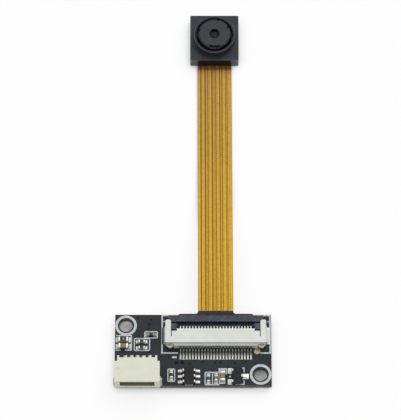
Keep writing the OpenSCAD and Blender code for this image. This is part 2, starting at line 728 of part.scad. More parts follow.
module underside_solder_lands() {
    pin_out = controller_w / 2 - 0.1;
    color([0.80, 0.80, 0.78])
    mirror([0, 0, 1]) linear_extrude(land_t) {
        translate(controller_xy) {
            square(controller_w * 0.62, center = true);
            for (q = [0 : 3], i = [0 : controller_pins - 1])
                rotate(q * 90) translate([(i - (controller_pins - 1) / 2) * controller_pin_pitch, pin_out])
                    square([0.24, 0.6], center = true);
        }
        for (sx = [-1, 1], i = [-1.5 : 1.5])
            translate([memory_xy[0] + sx * (memory_size[0] / 2 - 0.05), memory_xy[1] + i * 0.5])
                square([0.5, 0.25], center = true);
        for (sx = [-1, 1], sy = [-1, 1])
            translate([crystal_xy[0] + sx * 1.1, crystal_xy[1] + sy * 0.8]) square([1.2, 0.95], center = true);
        for (c = side_caps) chip_lands([c[0], c[1]], chip_small_cap, c[2] == 90);
    }
}

module controller_chip() {
    color([0.13, 0.13, 0.14])
    under_board(controller_xy) translate([0, 0, land_t]) difference() {
        block([controller_w, controller_w, controller_t]);
        translate([-controller_w / 2 + 0.7, controller_w / 2 - 0.7, controller_t - 0.04]) cylinder(h = 1, r = 0.25);
    }
}

module memory_chip() {
    color([0.13, 0.13, 0.14])
    under_board(memory_xy) translate([0, 0, land_t]) difference() {
        block(memory_size);
        translate([-memory_size[0] / 2 + 0.4, memory_size[1] / 2 - 0.4, memory_size[2] - 0.03])
            cylinder(h = 1, r = 0.15);
    }
}

module crystal() {
    color([0.74, 0.73, 0.70])
    under_board(crystal_xy) translate([0, 0, land_t]) {
        block([crystal_size[0], crystal_size[1], crystal_size[2] - 0.2]);
        linear_extrude(crystal_size[2]) round_rect(crystal_size[0] - 0.3, crystal_size[1] - 0.3, 0.3);
    }
}

module underside_capacitors() {
    color([0.60, 0.54, 0.42])
    for (c = side_caps) under_board([c[0], c[1]]) translate([0, 0, land_t]) rotate(c[2]) chip(chip_small_cap);
}

// ---------------------------------------------------------------- flex circuit
// Plan of the wide end and its neck, with a round inner corner at each side.
module flex_end_plan() {
    corner_r = 0.5;
    translate([socket_x, 0]) {
        translate([-flex_half, flex_y0]) square([2 * flex_half, shoulder_y - corner_r - flex_y0]);
        translate([-flex_half + corner_r, flex_y0]) square([2 * (flex_half - corner_r), shoulder_y - flex_y0]);
        for (s = [-1, 1]) translate([s * (flex_half - corner_r), shoulder_y - corner_r]) circle(corner_r);
        translate([-strip_w / 2, shoulder_y - 1]) square([strip_w, neck_y - shoulder_y + 1]);
        for (s = [-1, 1]) difference() {
            translate([s * (strip_w / 2 + neck_r / 2), shoulder_y + neck_r / 2 - e])
                square([neck_r + e, neck_r + 2 * e], center = true);
            translate([s * (strip_w / 2 + neck_r), shoulder_y + neck_r]) circle(neck_r);
        }
    }
}

// Height of the strip's underside, level at both ends, eased in between.
bend_steps = 32;
bend_y0 = neck_y + 1.5;
bend_l = strip_l * bend_share;
strip_drop = flex_z - (table_z + base_t);
function strip_z(k) = flex_z - strip_drop * (1 - cos(180 * k / bend_steps)) / 2;
bend_points = [for (k = [0 : bend_steps]) [bend_y0 + bend_l * k / bend_steps, strip_z(k)]];
bend_tops = [for (k = [bend_steps : -1 : 0]) [bend_points[k][0], bend_points[k][1] + flex_t]];

module flex_circuit() {
    color([0.80, 0.62, 0.20]) {
        translate([0, 0, flex_z]) linear_extrude(flex_t) flex_end_plan();
        translate([socket_x, neck_y, 0]) rotate(lean) translate([0, -neck_y, 0]) along_x(strip_w) polygon(concat(
            [[neck_y - 0.5, flex_z]], bend_points, [[head_y0 + 0.5, table_z + base_t]],
            [[head_y0 + 0.5, table_z + pad_t]], bend_tops, [[neck_y - 0.5, flex_z + flex_t]]
        ));
        translate([head_x, head_y, table_z + base_t]) block([head_w - 2 * plate_in, head_d - 2 * plate_in, flex_t]);
    }
}

module flex_end_stiffener() {
    color([0.18, 0.18, 0.20])
    translate([0, 0, flex_z + flex_t]) linear_extrude(stiffener_t) flex_end_plan();
}

// ---------------------------------------------------------------- lens head
glue_w = strip_w - 0.15;             // width of the glued recess over the flex
glue_in = 0.15;                      // depth of that recess
seam_t = 1.15;                       // underside of the groove around the housing
seam_d = 0.06;                       // depth of that groove

module head_at(t) {
    translate([head_x, head_y, table_z + t]) children();
}

module sensor_base_plate() {
    color([0.55, 0.55, 0.55])
    head_at(0) linear_extrude(base_t) round_rect(head_w, head_d, 0.2);
}

module image_sensor() {
    color([0.25, 0.28, 0.30])
    head_at(pad_t) {
        block([die_w, die_d, die_t]);
        translate([0, 0, die_t]) block([pixel_w, pixel_d, 0.02]);
    }
}

module lens_housing() {
    wall = 0.7;
    color([0.22, 0.23, 0.25])
    head_at(pad_t) difference() {
        union() {
            linear_extrude(head_h - pad_t) round_rect(head_w, head_d, 0.3);
            // collar with a bevelled outer edge
            rotate_extrude($fn = 96) polygon([
                [0, 0], [collar_r, 0], [collar_r, head_h + collar_h - pad_t - 0.12],
                [collar_r - 0.12, head_h + collar_h - pad_t], [0, head_h + collar_h - pad_t]
            ]);
        }
        // room for the sensor, pocket for the filter, light hole and barrel bore
        translate([0, 0, -e]) block([head_w - 2 * wall, head_d - 2 * wall - glue_in, cavity_t - pad_t + e]);
        translate([0, 0, cavity_t - pad_t - e]) block([filter_w + 2 * filter_play, filter_w + 2 * filter_play, filter_t + e]);
        cylinder(h = 9, r = barrel_bore_r - 0.1);
        translate([0, 0, shoulder_t - pad_t]) cylinder(h = 9, r = thread_r + thread_play, $fn = 96);
        translate([0, 0, head_h - pad_t]) cylinder(h = 9, r = collar_bore_r, $fn = 96);
        // groove around the four sides
        translate([0, 0, seam_t - pad_t]) difference() {
            block([head_w + 1, head_d + 1, 0.13]);
            translate([0, 0, -e]) block([head_w - 2 * seam_d, head_d - 2 * seam_d, 0.2]);
        }
        // recess over the flex, filled with adhesive
        translate([-glue_w / 2, -head_d / 2 - e, -e]) cube([glue_w, glue_in + e, 9]);
    }
}

module infrared_filter() {
    color([0.45, 0.62, 0.62])
    head_at(cavity_t) block([filter_w, filter_w, filter_t]);
}

module lens_barrel() {
    bore_t = shoulder_t;
    bevel = 0.3;
    hole_x = aperture_w / 2;
    hole_y = aperture_d / 2;
    color([0.28, 0.29, 0.31])
    head_at(0) difference() {
        rotate_extrude($fn = 96) polygon([
            [barrel_bore_r, bore_t], [thread_r, bore_t], [thread_r, head_h - 0.15],
            [barrel_r, head_h - 0.05], [barrel_r, barrel_top - 0.1], [barrel_r - bevel, barrel_top],
            [hole_x + 0.21, barrel_top], [hole_x - 0.11, barrel_top - 0.3],
            [hole_x - 0.11, pupil_t], [barrel_bore_r, pupil_t]
        ]);
        // six-sided hole in the front
        translate([0, 0, pupil_t - e]) linear_extrude(2) polygon([
            [hole_x, 0], [0.6 * hole_x, hole_y], [-0.6 * hole_x, hole_y],
            [-hole_x, 0], [-0.6 * hole_x, -hole_y], [0.6 * hole_x, -hole_y]
        ]);
        // notches for the focusing tool: a wide one at the front and three small ones
        translate([0, 0, barrel_top - 0.35]) {
            intersection() {
                difference() {
                    cylinder(h = 1, r = 4);
                    translate([0, 0, -1]) cylinder(h = 3, r = 2.28);
                }
                translate([-0.9, -4, 0]) cube([1.8, 4, 1]);
            }
            for (a = [28, 77, 166]) rotate(a) translate([barrel_r - 0.35, -0.2, 0]) cube([1, 0.4, 1]);
        }
    }
}

// A lens: a flat-edged disc with a domed face on each side.
module lens(r, upper, lower) {
    dome_r = 4 * r;
    sag = dome_r - sqrt(dome_r * dome_r - r * r);
    intersection() {
        translate([0, 0, -lower * sag]) cylinder(h = lens_edge + (upper + lower) * sag, r = r);
        translate([0, 0, lens_edge + sag - dome_r]) sphere(dome_r, $fn = 96);
        translate([0, 0, dome_r - sag]) sphere(dome_r, $fn = 96);
    }
}

module front_lens() {
    r = 1.5;
    sag = 4 * r - sqrt(15) * r;
    color([0.10, 0.12, 0.14])
    head_at(pupil_t - lens_edge - sag) {
        lens(r, 1, 1);
        // rim that fills the barrel's bore
        difference() {
            cylinder(h = lens_edge + sag, r = barrel_bore_r);
            translate([0, 0, -e]) cylinder(h = 1, r = r - 0.05);
        }
    }
}

module rear_lens() {
    r = 1.9;
    color([0.30, 0.34, 0.36])
    head_at(shoulder_t + 0.02) {
        cylinder(h = lens_edge, r = barrel_bore_r);
        translate([0, 0, lens_edge - e]) cylinder(h = 0.1, r1 = r, r2 = r - 0.4, $fn = 48);
    }
}

module adhesive_bead() {
    color([0.07, 0.07, 0.07])
    head_at(pad_t) translate([0, -head_d / 2, 0]) {
        translate([-glue_w / 2, 0, 0]) cube([glue_w, glue_in, head_h - pad_t - 0.06]);
        // bead that runs out onto the flex
        along_x(glue_w) polygon([[0.05, 0], [-0.14, 0], [-0.08, 0.3], [0.05, 0.8]]);
    }
}

circuit_board();
legend_ink();
top_solder_lands();
underside_solder_lands();
gold_test_pad();
flex_socket_housing();
flex_socket_contacts();
flex_socket_anchors();
flex_socket_latch();
wire_socket_housing();
wire_socket_contacts();
wire_socket_anchors();
regulator_body();
regulator_leads();
transistor_body();
transistor_leads();
zero_ohm_link();
input_capacitor();
rear_resistor();
front_resistor();
corner_resistor();
sense_resistor();
output_resistor();
filter_capacitor();
output_capacitor();
controller_chip();
memory_chip();
crystal();
underside_capacitors();
flex_circuit();
flex_end_stiffener();
lens_housing();
lens_barrel();
front_lens();
rear_lens();
infrared_filter();
image_sensor();
sensor_base_plate();
adhesive_bead();
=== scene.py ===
import math
import random

import bmesh
import bpy
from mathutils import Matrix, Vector


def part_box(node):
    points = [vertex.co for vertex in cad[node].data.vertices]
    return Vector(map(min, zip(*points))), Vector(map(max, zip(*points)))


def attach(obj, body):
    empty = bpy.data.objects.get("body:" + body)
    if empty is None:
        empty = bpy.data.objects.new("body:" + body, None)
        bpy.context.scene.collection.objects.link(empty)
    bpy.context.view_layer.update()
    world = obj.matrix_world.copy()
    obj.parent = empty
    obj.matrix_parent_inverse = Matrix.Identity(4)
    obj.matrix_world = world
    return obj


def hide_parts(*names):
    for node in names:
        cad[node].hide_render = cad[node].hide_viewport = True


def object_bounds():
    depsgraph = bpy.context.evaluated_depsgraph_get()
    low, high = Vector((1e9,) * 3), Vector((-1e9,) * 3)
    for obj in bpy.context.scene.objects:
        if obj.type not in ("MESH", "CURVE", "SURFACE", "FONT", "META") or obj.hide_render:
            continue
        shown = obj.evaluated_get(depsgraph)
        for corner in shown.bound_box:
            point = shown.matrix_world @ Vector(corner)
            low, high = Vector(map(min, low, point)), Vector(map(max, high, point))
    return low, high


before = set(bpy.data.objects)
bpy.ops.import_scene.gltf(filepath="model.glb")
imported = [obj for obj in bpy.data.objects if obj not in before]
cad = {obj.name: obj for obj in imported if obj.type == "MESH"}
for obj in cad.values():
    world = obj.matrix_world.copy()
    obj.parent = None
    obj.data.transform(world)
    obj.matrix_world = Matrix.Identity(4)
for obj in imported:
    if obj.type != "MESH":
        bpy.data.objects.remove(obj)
cad_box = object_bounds()
MM = 0.001


# ---------------------------------------------------------------- camera
# A long lens on a copy stand, tipped back a little so that the front of the
# board, of the sockets and of the lens head shows.
camera_data = bpy.data.cameras.new("stand_camera")
camera_data.lens = 222.86
camera_data.sensor_width = 36
camera_data.clip_start = 0.01
camera_data.clip_end = 20
camera = bpy.data.objects.new("stand_camera", camera_data)
camera.location = (1.21 * MM, -147.96 * MM, 399.93 * MM)
camera.rotation_euler = (math.radians(23.43), 0, 0)
bpy.context.scene.collection.objects.link(camera)
bpy.context.scene.camera = camera
bpy.context.scene.view_settings.view_transform = "Standard"


# ---------------------------------------------------------------- table and light
# A matt, backlit white table under a soft tent that is brightest overhead and
# dim towards the front; close round the object and under the board the glow is taken
# away, which is painted shade. A large soft lamp stands at the back right.
def shader_nodes(tree):
    tree.nodes.clear()
    return tree.nodes, tree.links


def box_mask(nodes, links, low, high, soft):
    """Socket that is 1 inside a box between two corners in millimetres, and 0 outside."""
    place = nodes.new("ShaderNodeTexCoord")
    last = place.outputs["Object"]
    for step, amount in (
        ("SUBTRACT", [(a + b) / 2 * MM for a, b in zip(low, high)]),
        ("ABSOLUTE", None),
        ("SUBTRACT", [(b - a) / 2 * MM for a, b in zip(low, high)]),
    ):
        move = nodes.new("ShaderNodeVectorMath")
        move.operation = step
        links.new(last, move.inputs[0])
        if amount:
            move.inputs[1].default_value = amount
        last = move.outputs[0]
    split = nodes.new("ShaderNodeSeparateXYZ")
    links.new(last, split.inputs[0])
    last = split.outputs["X"]
    for axis in ("Y", "Z"):
        most = nodes.new("ShaderNodeMath")
        most.operation = "MAXIMUM"
        links.new(last, most.inputs[0])
        links.new(split.outputs[axis], most.inputs[1])
        last = most.outputs[0]
    inside = nodes.new("ShaderNodeMapRange")
    inside.inputs["From Min"].default_value = -soft * MM
    inside.inputs["From Max"].default_value = soft * MM
    inside.inputs["To Min"].default_value = 1
    inside.inputs["To Max"].default_value = 0
    links.new(last, inside.inputs["Value"])
    return inside.outputs["Result"]


def lay_table():
    """White table that glows a little; the glow is taken away under the board and close round the
    object, as painted shade.
    """
    half, level = 4.0, cad_box[0].z
    mesh = bpy.data.meshes.new("table_top")
    mesh.from_pydata(
        [(-half, -half, level), (half, -half, level), (half, half, level), (-half, half, level)],
        [],
        [(0, 1, 2, 3)],
    )
    table = bpy.data.objects.new("table_top", mesh)
    bpy.context.scene.collection.objects.link(table)
    paint = bpy.data.materials.new("table_white")
    paint.use_nodes = True
    nodes, links = shader_nodes(paint.node_tree)
    out = nodes.new("ShaderNodeOutputMaterial")
    matt = nodes.new("ShaderNodeBsdfDiffuse")
    matt.inputs["Color"].default_value = (0.90, 0.905, 0.91, 1)
    lit = nodes.new("ShaderNodeEmission")
    lit.inputs["Color"].default_value = (1.0, 1.0, 1.0, 1)
    path = nodes.new("ShaderNodeLightPath")
    seen = nodes.new("ShaderNodeMath")
    seen.operation = "MAXIMUM"
    share = nodes.new("ShaderNodeMath")
    share.operation = "MULTIPLY"
    # Ambient occlusion and the board's outline take the glow away: painted shade.
    near = nodes.new("ShaderNodeAmbientOcclusion")
    near.inputs["Distance"].default_value = 1.5 * MM
    open_part = nodes.new("ShaderNodeMapRange")
    open_part.inputs["From Min"].default_value = 0.25
    open_part.inputs["To Max"].default_value = 0.80
    low, high = (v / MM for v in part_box("circuit_board"))
    inset, reach = 0.2, 5
    under = box_mask(
        nodes, links, (low.x + inset, low.y + inset, -reach),
        (high.x - inset, high.y - inset, reach), soft=0.1,
    )
    clear = nodes.new("ShaderNodeMath")
    clear.operation = "SUBTRACT"
    clear.inputs[0].default_value = 1
    both = nodes.new("ShaderNodeMath")
    both.operation = "MULTIPLY"
    backlit = nodes.new("ShaderNodeMixShader")
    links.new(path.outputs["Is Camera Ray"], seen.inputs[0])
    links.new(path.outputs["Is Glossy Ray"], seen.inputs[1])
    links.new(near.outputs["AO"], open_part.inputs["Value"])
    links.new(seen.outputs[0], share.inputs[0])
    links.new(under, clear.inputs[1])
    links.new(open_part.outputs["Result"], both.inputs[0])
    links.new(clear.outputs[0], both.inputs[1])
    links.new(both.outputs[0], share.inputs[1])
    links.new(share.outputs[0], backlit.inputs[0])
    links.new(matt.outputs[0], backlit.inputs[1])
    links.new(lit.outputs[0], backlit.inputs[2])
    links.new(backlit.outputs[0], out.inputs[0])
    mesh.materials.append(paint)


def hang_lights():
    """Soft tent of light, white where the camera looks past the table, and one large lamp."""
    world = bpy.data.worlds.new("light_tent")
    bpy.context.scene.world = world
    world.use_nodes = True
    nodes, links = shader_nodes(world.node_tree)
    out = nodes.new("ShaderNodeOutputWorld")
    place = nodes.new("ShaderNodeTexCoord")
    split = nodes.new("ShaderNodeSeparateXYZ")
    rise = nodes.new("ShaderNodeMapRange")
    rise.inputs["From Min"].default_value = 0.0
    rise.inputs["From Max"].default_value = 1.0
    rise.inputs["To Min"].default_value = 0.48
    rise.inputs["To Max"].default_value = 1.14
    front = nodes.new("ShaderNodeMapRange")
    front.interpolation_type = "SMOOTHSTEP"
    front.inputs["From Min"].default_value = -0.95
    front.inputs["From Max"].default_value = -0.25
    front.inputs["To Min"].default_value = 0.48
    front.inputs["To Max"].default_value = 1.0
    dimmed = nodes.new("ShaderNodeMath")
    dimmed.operation = "MULTIPLY"
    tent = nodes.new("ShaderNodeBackground")
    tent.inputs["Color"].default_value = (1, 1, 1, 1)
    white = nodes.new("ShaderNodeBackground")
    white.inputs["Color"].default_value = (0.96, 0.96, 0.96, 1)
    path = nodes.new("ShaderNodeLightPath")
    pick = nodes.new("ShaderNodeMixShader")
    links.new(place.outputs["Generated"], split.inputs[0])
    links.new(split.outputs["Z"], rise.inputs["Value"])
    links.new(split.outputs["Y"], front.inputs["Value"])
    links.new(rise.outputs["Result"], dimmed.inputs[0])
    links.new(front.outputs["Result"], dimmed.inputs[1])
    links.new(dimmed.outputs[0], tent.inputs["Strength"])
    links.new(path.outputs["Is Camera Ray"], pick.inputs[0])
    links.new(tent.outputs[0], pick.inputs[1])
    links.new(white.outputs[0], pick.inputs[2])
    links.new(pick.outputs[0], out.inputs[0])

    lamp_data = bpy.data.lights.new("soft_lamp", "AREA")
    lamp_data.shape = "SQUARE"
    lamp_data.size = 0.9
    lamp_data.energy = 3.6
    lamp = bpy.data.objects.new("soft_lamp", lamp_data)
    lamp.location = (0.35, 0.65, 0.85)
    aim = Vector((0, 0.02, 0))
    lamp.rotation_euler = (aim - lamp.location).to_track_quat("-Z", "Y").to_euler()
    bpy.context.scene.collection.objects.link(lamp)


lay_table()
hang_lights()


# ---------------------------------------------------------------- circuit board
# One millimetre of glass-epoxy board under black solder mask. The mask rises a
# little over the copper tracks, and the cut edges show the brown laminate.
def finish(
    name,
    colour,
    rough,
    metal=0.0,
    shine=0.5,
    mottle=0.12,
    mottle_mm=0.8,
    swing=0.08,
    grain=0.15,
    grain_mm=0.08,
    depth_mm=0.01,
):
    """Surface whose colour and roughness drift, with a fine grain in relief."""
    made = bpy.data.materials.new(name)
    made.use_nodes = True
    nodes, links = shader_nodes(made.node_tree)
    out = nodes.new("ShaderNodeOutputMaterial")
    skin = nodes.new("ShaderNodeBsdfPrincipled")
    skin.inputs["Metallic"].default_value = metal
    skin.inputs["Specular IOR Level"].default_value = shine
    place = nodes.new("ShaderNodeTexCoord")

    def cloud(size_mm, detail):
        noise = nodes.new("ShaderNodeTexNoise")
        noise.inputs["Scale"].default_value = 1 / (size_mm * MM)
        noise.inputs["Detail"].default_value = detail
        links.new(place.outputs["Object"], noise.inputs["Vector"])
        return noise.outputs["Fac"]

    drift = cloud(mottle_mm, 3)
    ramp = nodes.new("ShaderNodeValToRGB")
    ramp.color_ramp.elements[0].position = 0.3
    ramp.color_ramp.elements[1].position = 0.7
    ramp.color_ramp.elements[0].color = [c * (1 - mottle) for c in colour] + [1]
    ramp.color_ramp.elements[1].color = [min(1, c * (1 + mottle)) for c in colour] + [1]
    links.new(drift, ramp.inputs[0])
    links.new(ramp.outputs[0], skin.inputs["Base Color"])
    dull = nodes.new("ShaderNodeMapRange")
    dull.inputs["From Min"].default_value = 0.3
    dull.inputs["From Max"].default_value = 0.7
    dull.inputs["To Min"].default_value = max(0.02, rough - swing)
    dull.inputs["To Max"].default_value = min(1, rough + swing)
    links.new(cloud(mottle_mm * 0.6, 2), dull.inputs["Value"])
    links.new(dull.outputs["Result"], skin.inputs["Roughness"])
    if grain:
        bump = nodes.new("ShaderNodeBump")
        bump.inputs["Strength"].default_value = grain
        bump.inputs["Distance"].default_value = depth_mm * MM
        links.new(cloud(grain_mm, 2), bump.inputs["Height"])
        links.new(bump.outputs[0], skin.inputs["Normal"])
    links.new(skin.outputs[0], out.inputs[0])
    return made


def coat(name, material):
    """Gives a CAD piece its finish."""
    if not cad[name].material_slots:
        cad[name].data.materials.append(material)
    for held in cad[name].material_slots:
        held.material = material


def repaint(material, mask, colour, mode="MIX", shine=None):
    """Lays a colour, or a socket's colour, over a finish where the mask is 1.

    With no mask it covers all of it. A shine, where one is given, needs a mask.
    """
    nodes, links = material.node_tree.nodes, material.node_tree.links
    skin = next(n for n in nodes if n.type == "BSDF_PRINCIPLED")
    base = skin.inputs["Base Color"].links[0].from_socket
    pick = nodes.new("ShaderNodeMix")
    pick.data_type = "RGBA"
    pick.blend_type = mode
    pick.inputs["Factor"].default_value = 1
    if mask:
        links.new(mask, pick.inputs["Factor"])
    links.new(base, pick.inputs["A"])
    if isinstance(colour, tuple):
        pick.inputs["B"].default_value = (*colour, 1)
    else:
        links.new(colour, pick.inputs["B"])
    links.new(pick.outputs["Result"], skin.inputs["Base Color"])
    if shine is not None:
        gloss = nodes.new("ShaderNodeMix")
        gloss.data_type = "FLOAT"
        held = skin.inputs["Specular IOR Level"]
        gloss.inputs["A"].default_value = held.default_value
        if held.links:
            links.new(held.links[0].from_socket, gloss.inputs["A"])
        gloss.inputs["B"].default_value = shine
        links.new(mask, gloss.inputs["Factor"])
        links.new(gloss.outputs["Result"], held)


def within(material, low, high, colour, soft=0.03, shine=None):
    """Multiplies a finish by a colour inside a box between two corners in millimetres."""
    nodes, links = material.node_tree.nodes, material.node_tree.links
    repaint(material, box_mask(nodes, links, low, high, soft), colour, "MULTIPLY", shine)


def sloped(material, limit, colour):
    """Paints a finish where the upright share of its normal is under a limit."""
    nodes, links = material.node_tree.nodes, material.node_tree.links
    facing = nodes.new("ShaderNodeNewGeometry")
    split = nodes.new("ShaderNodeSeparateXYZ")
    links.new(facing.outputs["Normal"], split.inputs[0])
    upright = nodes.new("ShaderNodeMath")
    upright.operation = "ABSOLUTE"
    links.new(split.outputs["Z"], upright.inputs[0])
    side = nodes.new("ShaderNodeMath")
    side.operation = "LESS_THAN"
    side.inputs[1].default_value = limit
    links.new(upright.outputs[0], side.inputs[0])
    repaint(material, side.outputs[0], colour)


def edges_of(material, colour):
    """Shows bare laminate, in layers, where a surface stands upright."""
    nodes, links = material.node_tree.nodes, material.node_tree.links
    place = nodes.new("ShaderNodeTexCoord")
    layers = nodes.new("ShaderNodeTexWave")
    layers.bands_direction = "Z"
    layers.inputs["Scale"].default_value = 0.6 / MM
    layers.inputs["Distortion"].default_value = 1.5
    layers.inputs["Detail"].default_value = 2
    layers.inputs["Detail Scale"].default_value = 3
    links.new(place.outputs["Object"], layers.inputs["Vector"])
    glass = nodes.new("ShaderNodeValToRGB")
    glass.color_ramp.elements[0].color = [c * 0.7 for c in colour] + [1]
    glass.color_ramp.elements[1].color = [c * 1.25 for c in colour] + [1]
    links.new(layers.outputs["Fac"], glass.inputs[0])
    sloped(material, limit=0.5, colour=glass.outputs[0])


board_mask = finish(
    "black_solder_mask", (0.013, 0.019, 0.025), rough=0.42, shine=0.22, mottle=0.22,
    mottle_mm=2.2, swing=0.06, grain=0.25, grain_mm=0.16, depth_mm=0.004,
)
edges_of(board_mask, (0.047, 0.034, 0.023))
board_low, board_high = (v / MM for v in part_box("circuit_board"))
board_top = board_high.z
# The wall of the rear mounting hole is paler than the outer cut edges.
within(
    board_mask, (board_low.x, 2, 0.05), (-9, board_high.y, board_top - 0.05), (3.4, 2.9, 2.2),
)
coat("circuit_board", board_mask)


def piece(name, mesh, materials, body="module", smooth=True):
    """Puts a finished mesh, drawn in millimetres, on one of the bodies."""
    for vertex in mesh.verts:
        vertex.co *= MM
    bmesh.ops.recalc_face_normals(mesh, faces=mesh.faces)
    data = bpy.data.meshes.new(name)
    mesh.to_mesh(data)
    mesh.free()
    for material in materials:
        data.materials.append(material)
    for face in data.polygons:
        face.use_smooth = smooth
    if smooth:
        data.set_sharp_from_angle(angle=math.radians(38))
    made = bpy.data.objects.new(name, data)
    bpy.context.scene.collection.objects.link(made)
    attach(made, body)
    return made


def ribbon(mesh, line, width, level, thick, material=0):
    """Flat strip with bevelled sides along (x, y) points. level gives its height at a point."""
    rows = []
    for i, point in enumerate(line):
        here = Vector(point)
        before = (here - Vector(line[i - 1])).normalized() if i else None
        after = (Vector(line[i + 1]) - here).normalized() if i + 1 < len(line) else None
        way = ((before or after) + (after or before)).normalized()
        miter = 1 / max(0.5, way.dot(before or after))
        side = Vector((way.y, -way.x)) * width / 2 * miter
        z = level(here.x, here.y)
        top_share = 1 - min(0.4, thick / width)
        rows.append([
            mesh.verts.new((here.x + side.x * share, here.y + side.y * share, z + up))
            for share, up in ((1, 0), (top_share, thick), (-top_share, thick), (-1, 0))
        ])
    faces = [mesh.faces.new(rows[0]), mesh.faces.new(rows[-1][::-1])]
    for a, b in zip(rows, rows[1:]):
        for j in range(4):
            faces.append(mesh.faces.new((a[j], b[j], b[(j + 1) % 4], a[(j + 1) % 4])))
    for face in faces:
        face.material_index = material


def disc(mesh, centre, rings, sides=16, material=0):
    """Turned shape: rings of (radius, height) from the outside in, closed at both ends."""
    turns = [2 * math.pi * k / sides for k in range(sides)]
    x, y, z = centre
    loops = [
        [mesh.verts.new((x + r * math.cos(a), y + r * math.sin(a), z + up)) for a in turns]
        for r, up in rings
    ]
    faces = [mesh.faces.new(loops[0][::-1]), mesh.faces.new(loops[-1])]
    for a, b in zip(loops, loops[1:]):
        for k in range(sides):
            faces.append(mesh.faces.new((a[k], a[(k + 1) % sides], b[(k + 1) % sides], b[k])))
    for face in faces:
        face.material_index = material


def board_tracks():
    """Copper tracks under the mask, as low ridges on both faces."""
    width, rise, sunk = 0.2, 0.012, 0.004
    top = [
        [(-8.9, 2.5), (-8.0, 3.4), (-7.35, 3.75)],
        [(-7.2, 4.5), (-6.2, 5.4), (-5.6, 5.4)],
        [(-9.1, 5.5), (-8.2, 5.5), (-6.9, 5.3)],
        [(-7.15, -0.4), (-6.2, 0.5), (-6.2, 1.8), (-5.6, 2.4)],
        [(-2.75, -2.3), (-3.6, -3.1), (-3.6, -3.4)],
        [(-1.9, -2.1), (-0.2, -2.1), (0.4, -1.5)],
        [(1.6, -2.1), (2.3, -2.8), (2.3, -3.7)],
        [(3.6, -2.2), (4.4, -3.0), (6.2, -3.0), (6.9, -2.3)],
        [(-4.0, -1.3), (-4.6, -1.9), (-4.6, -5.2), (-4.1, -5.7)],
        [(8.6, -2.1), (9.4, -2.1), (10.2, -1.3), (10.2, 0.2)],
        [(1.5, -5.7), (4.0, -5.7)],
    ]
    under = [[(-x, y) for x, y in line] for line in top] + [
        [(-11.6, 1.5), (-9.5, 1.5), (-8.6, 0.6)],
        [(7.2, 2.6), (8.3, 3.7), (10.8, 3.7)],
        [(7.2, 0.4), (9.0, 0.4), (10.4, -1.0)],
        [(-10.8, -3.8), (-8.0, -3.8), (-6.9, -2.7)],
    ]
    mesh = bmesh.new()
    for line in top:
        ribbon(mesh, line, width, lambda x, y: board_top - sunk, rise)
    for line in under:
        ribbon(mesh, line, width, lambda x, y: board_low.z + sunk, -rise)
    piece("board_tracks", mesh, [board_mask], smooth=False)


def board_vias():
    """Plated holes that the mask fills: a low rim round a near-black cap, painted shade of the
    hollow.
    """
    small = [
        (-9.09, 5.56), (-6.88, 5.28), (-7.18, 4.51), (-7.32, 3.77), (-8.93, 2.48), (-7.13, -0.36),
        (-4.0, -1.3), (-1.5, -2.35), (-0.55, -2.4), (1.6, -2.1), (3.6, -2.2),
        (4.45, -2.2), (6.85, -2.3), (8.6, -2.1), (10.2, 0.2), (5.35, -4.6), (10.15, -2.4),
    ]
    large = [(-2.66, -2.24), (-1.84, -2.16)]
    sunk = 0.004
    mesh = bmesh.new()
    for x, y in small:
        disc(mesh, (x, y, board_top - sunk), [(0.2, 0), (0.17, 0.014), (0.11, 0.014)])
        disc(mesh, (x, y, board_top), [(0.13, 0), (0.13, 0.016), (0.06, 0.015)], material=1)
    for x, y in large:
        disc(mesh, (x, y, board_top - sunk), [(0.36, 0), (0.33, 0.014), (0.26, 0.014)])
        disc(mesh, (x, y, board_top), [(0.26, 0), (0.26, 0.016), (0.1, 0.015)], material=1)
    # Underneath, only those clear of the chips show.
    for x, y in small:
        if abs(x) > 5.5 or y > 4.9:
            disc(mesh, (x, y, board_low.z + sunk), [(0.2, 0), (0.17, -0.014), (0.11, -0.014)])
            disc(mesh, (x, y, board_low.z), [(0.1, 0), (0.1, -0.012), (0.05, -0.011)], material=1)
    dimple_shade = finish("via_dimple", (0.004, 0.004, 0.005), rough=0.6, shine=0.08, grain_mm=0.04)
    piece("board_vias", mesh, [board_mask, dimple_shade], smooth=False)


board_tracks()
board_vias()


# ---------------------------------------------------------------- legend and bare pads
# Pale ink screened on the mask, flat tinned lands that the parts are soldered
# to, and one gold-plated test pad.
legend = finish(
    "legend_ink", (0.485, 0.53, 0.545), rough=0.6, shine=0.3, mottle=0.16, mottle_mm=0.35,
    grain=0.4, grain_mm=0.05, depth_mm=0.004,
)
coat("legend_ink", legend)
dot = bmesh.new()
disc(dot, (6.0, -4.62, board_top), [(0.17, 0), (0.15, 0.02)])
piece("legend_dot", dot, [legend])
tinned = finish(
    "tinned_land", (0.52, 0.52, 0.47), rough=0.36, metal=1.0, mottle=0.16, mottle_mm=0.45,
    swing=0.12, grain=0.35, grain_mm=0.12, depth_mm=0.01,
)
coat("underside_solder_lands", tinned)
top_tinned = tinned.copy()
top_tinned.name = "top_tinned_land"
contacts_low, contacts_high = (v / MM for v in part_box("flex_socket_contacts"))
anchors_low, anchors_high = (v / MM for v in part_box("flex_socket_anchors"))
# The lands are dark and dull behind the contacts' feet, painted shade under the housing's edge,
# and outside the left anchor.
dulled = (0.10, 0.11, 0.13)
within(
    top_tinned, (contacts_low.x - 0.2, contacts_low.y + 0.26, 0),
    (contacts_high.x + 0.2, contacts_low.y + 0.6, 2), dulled, shine=0.1,
)
within(
    top_tinned, (anchors_low.x - 0.3, anchors_low.y - 0.3, 0),
    (anchors_low.x + 0.2, anchors_high.y + 0.3, 2), dulled, shine=0.1,
)
coat("top_solder_lands", top_tinned)
coat(
    "gold_test_pad",
    finish(
        "gold_plate", (0.43, 0.35, 0.16), rough=0.38, metal=0.9, mottle=0.15, mottle_mm=0.3,
        grain=0.3, grain_mm=0.1, depth_mm=0.006,
    ),
)


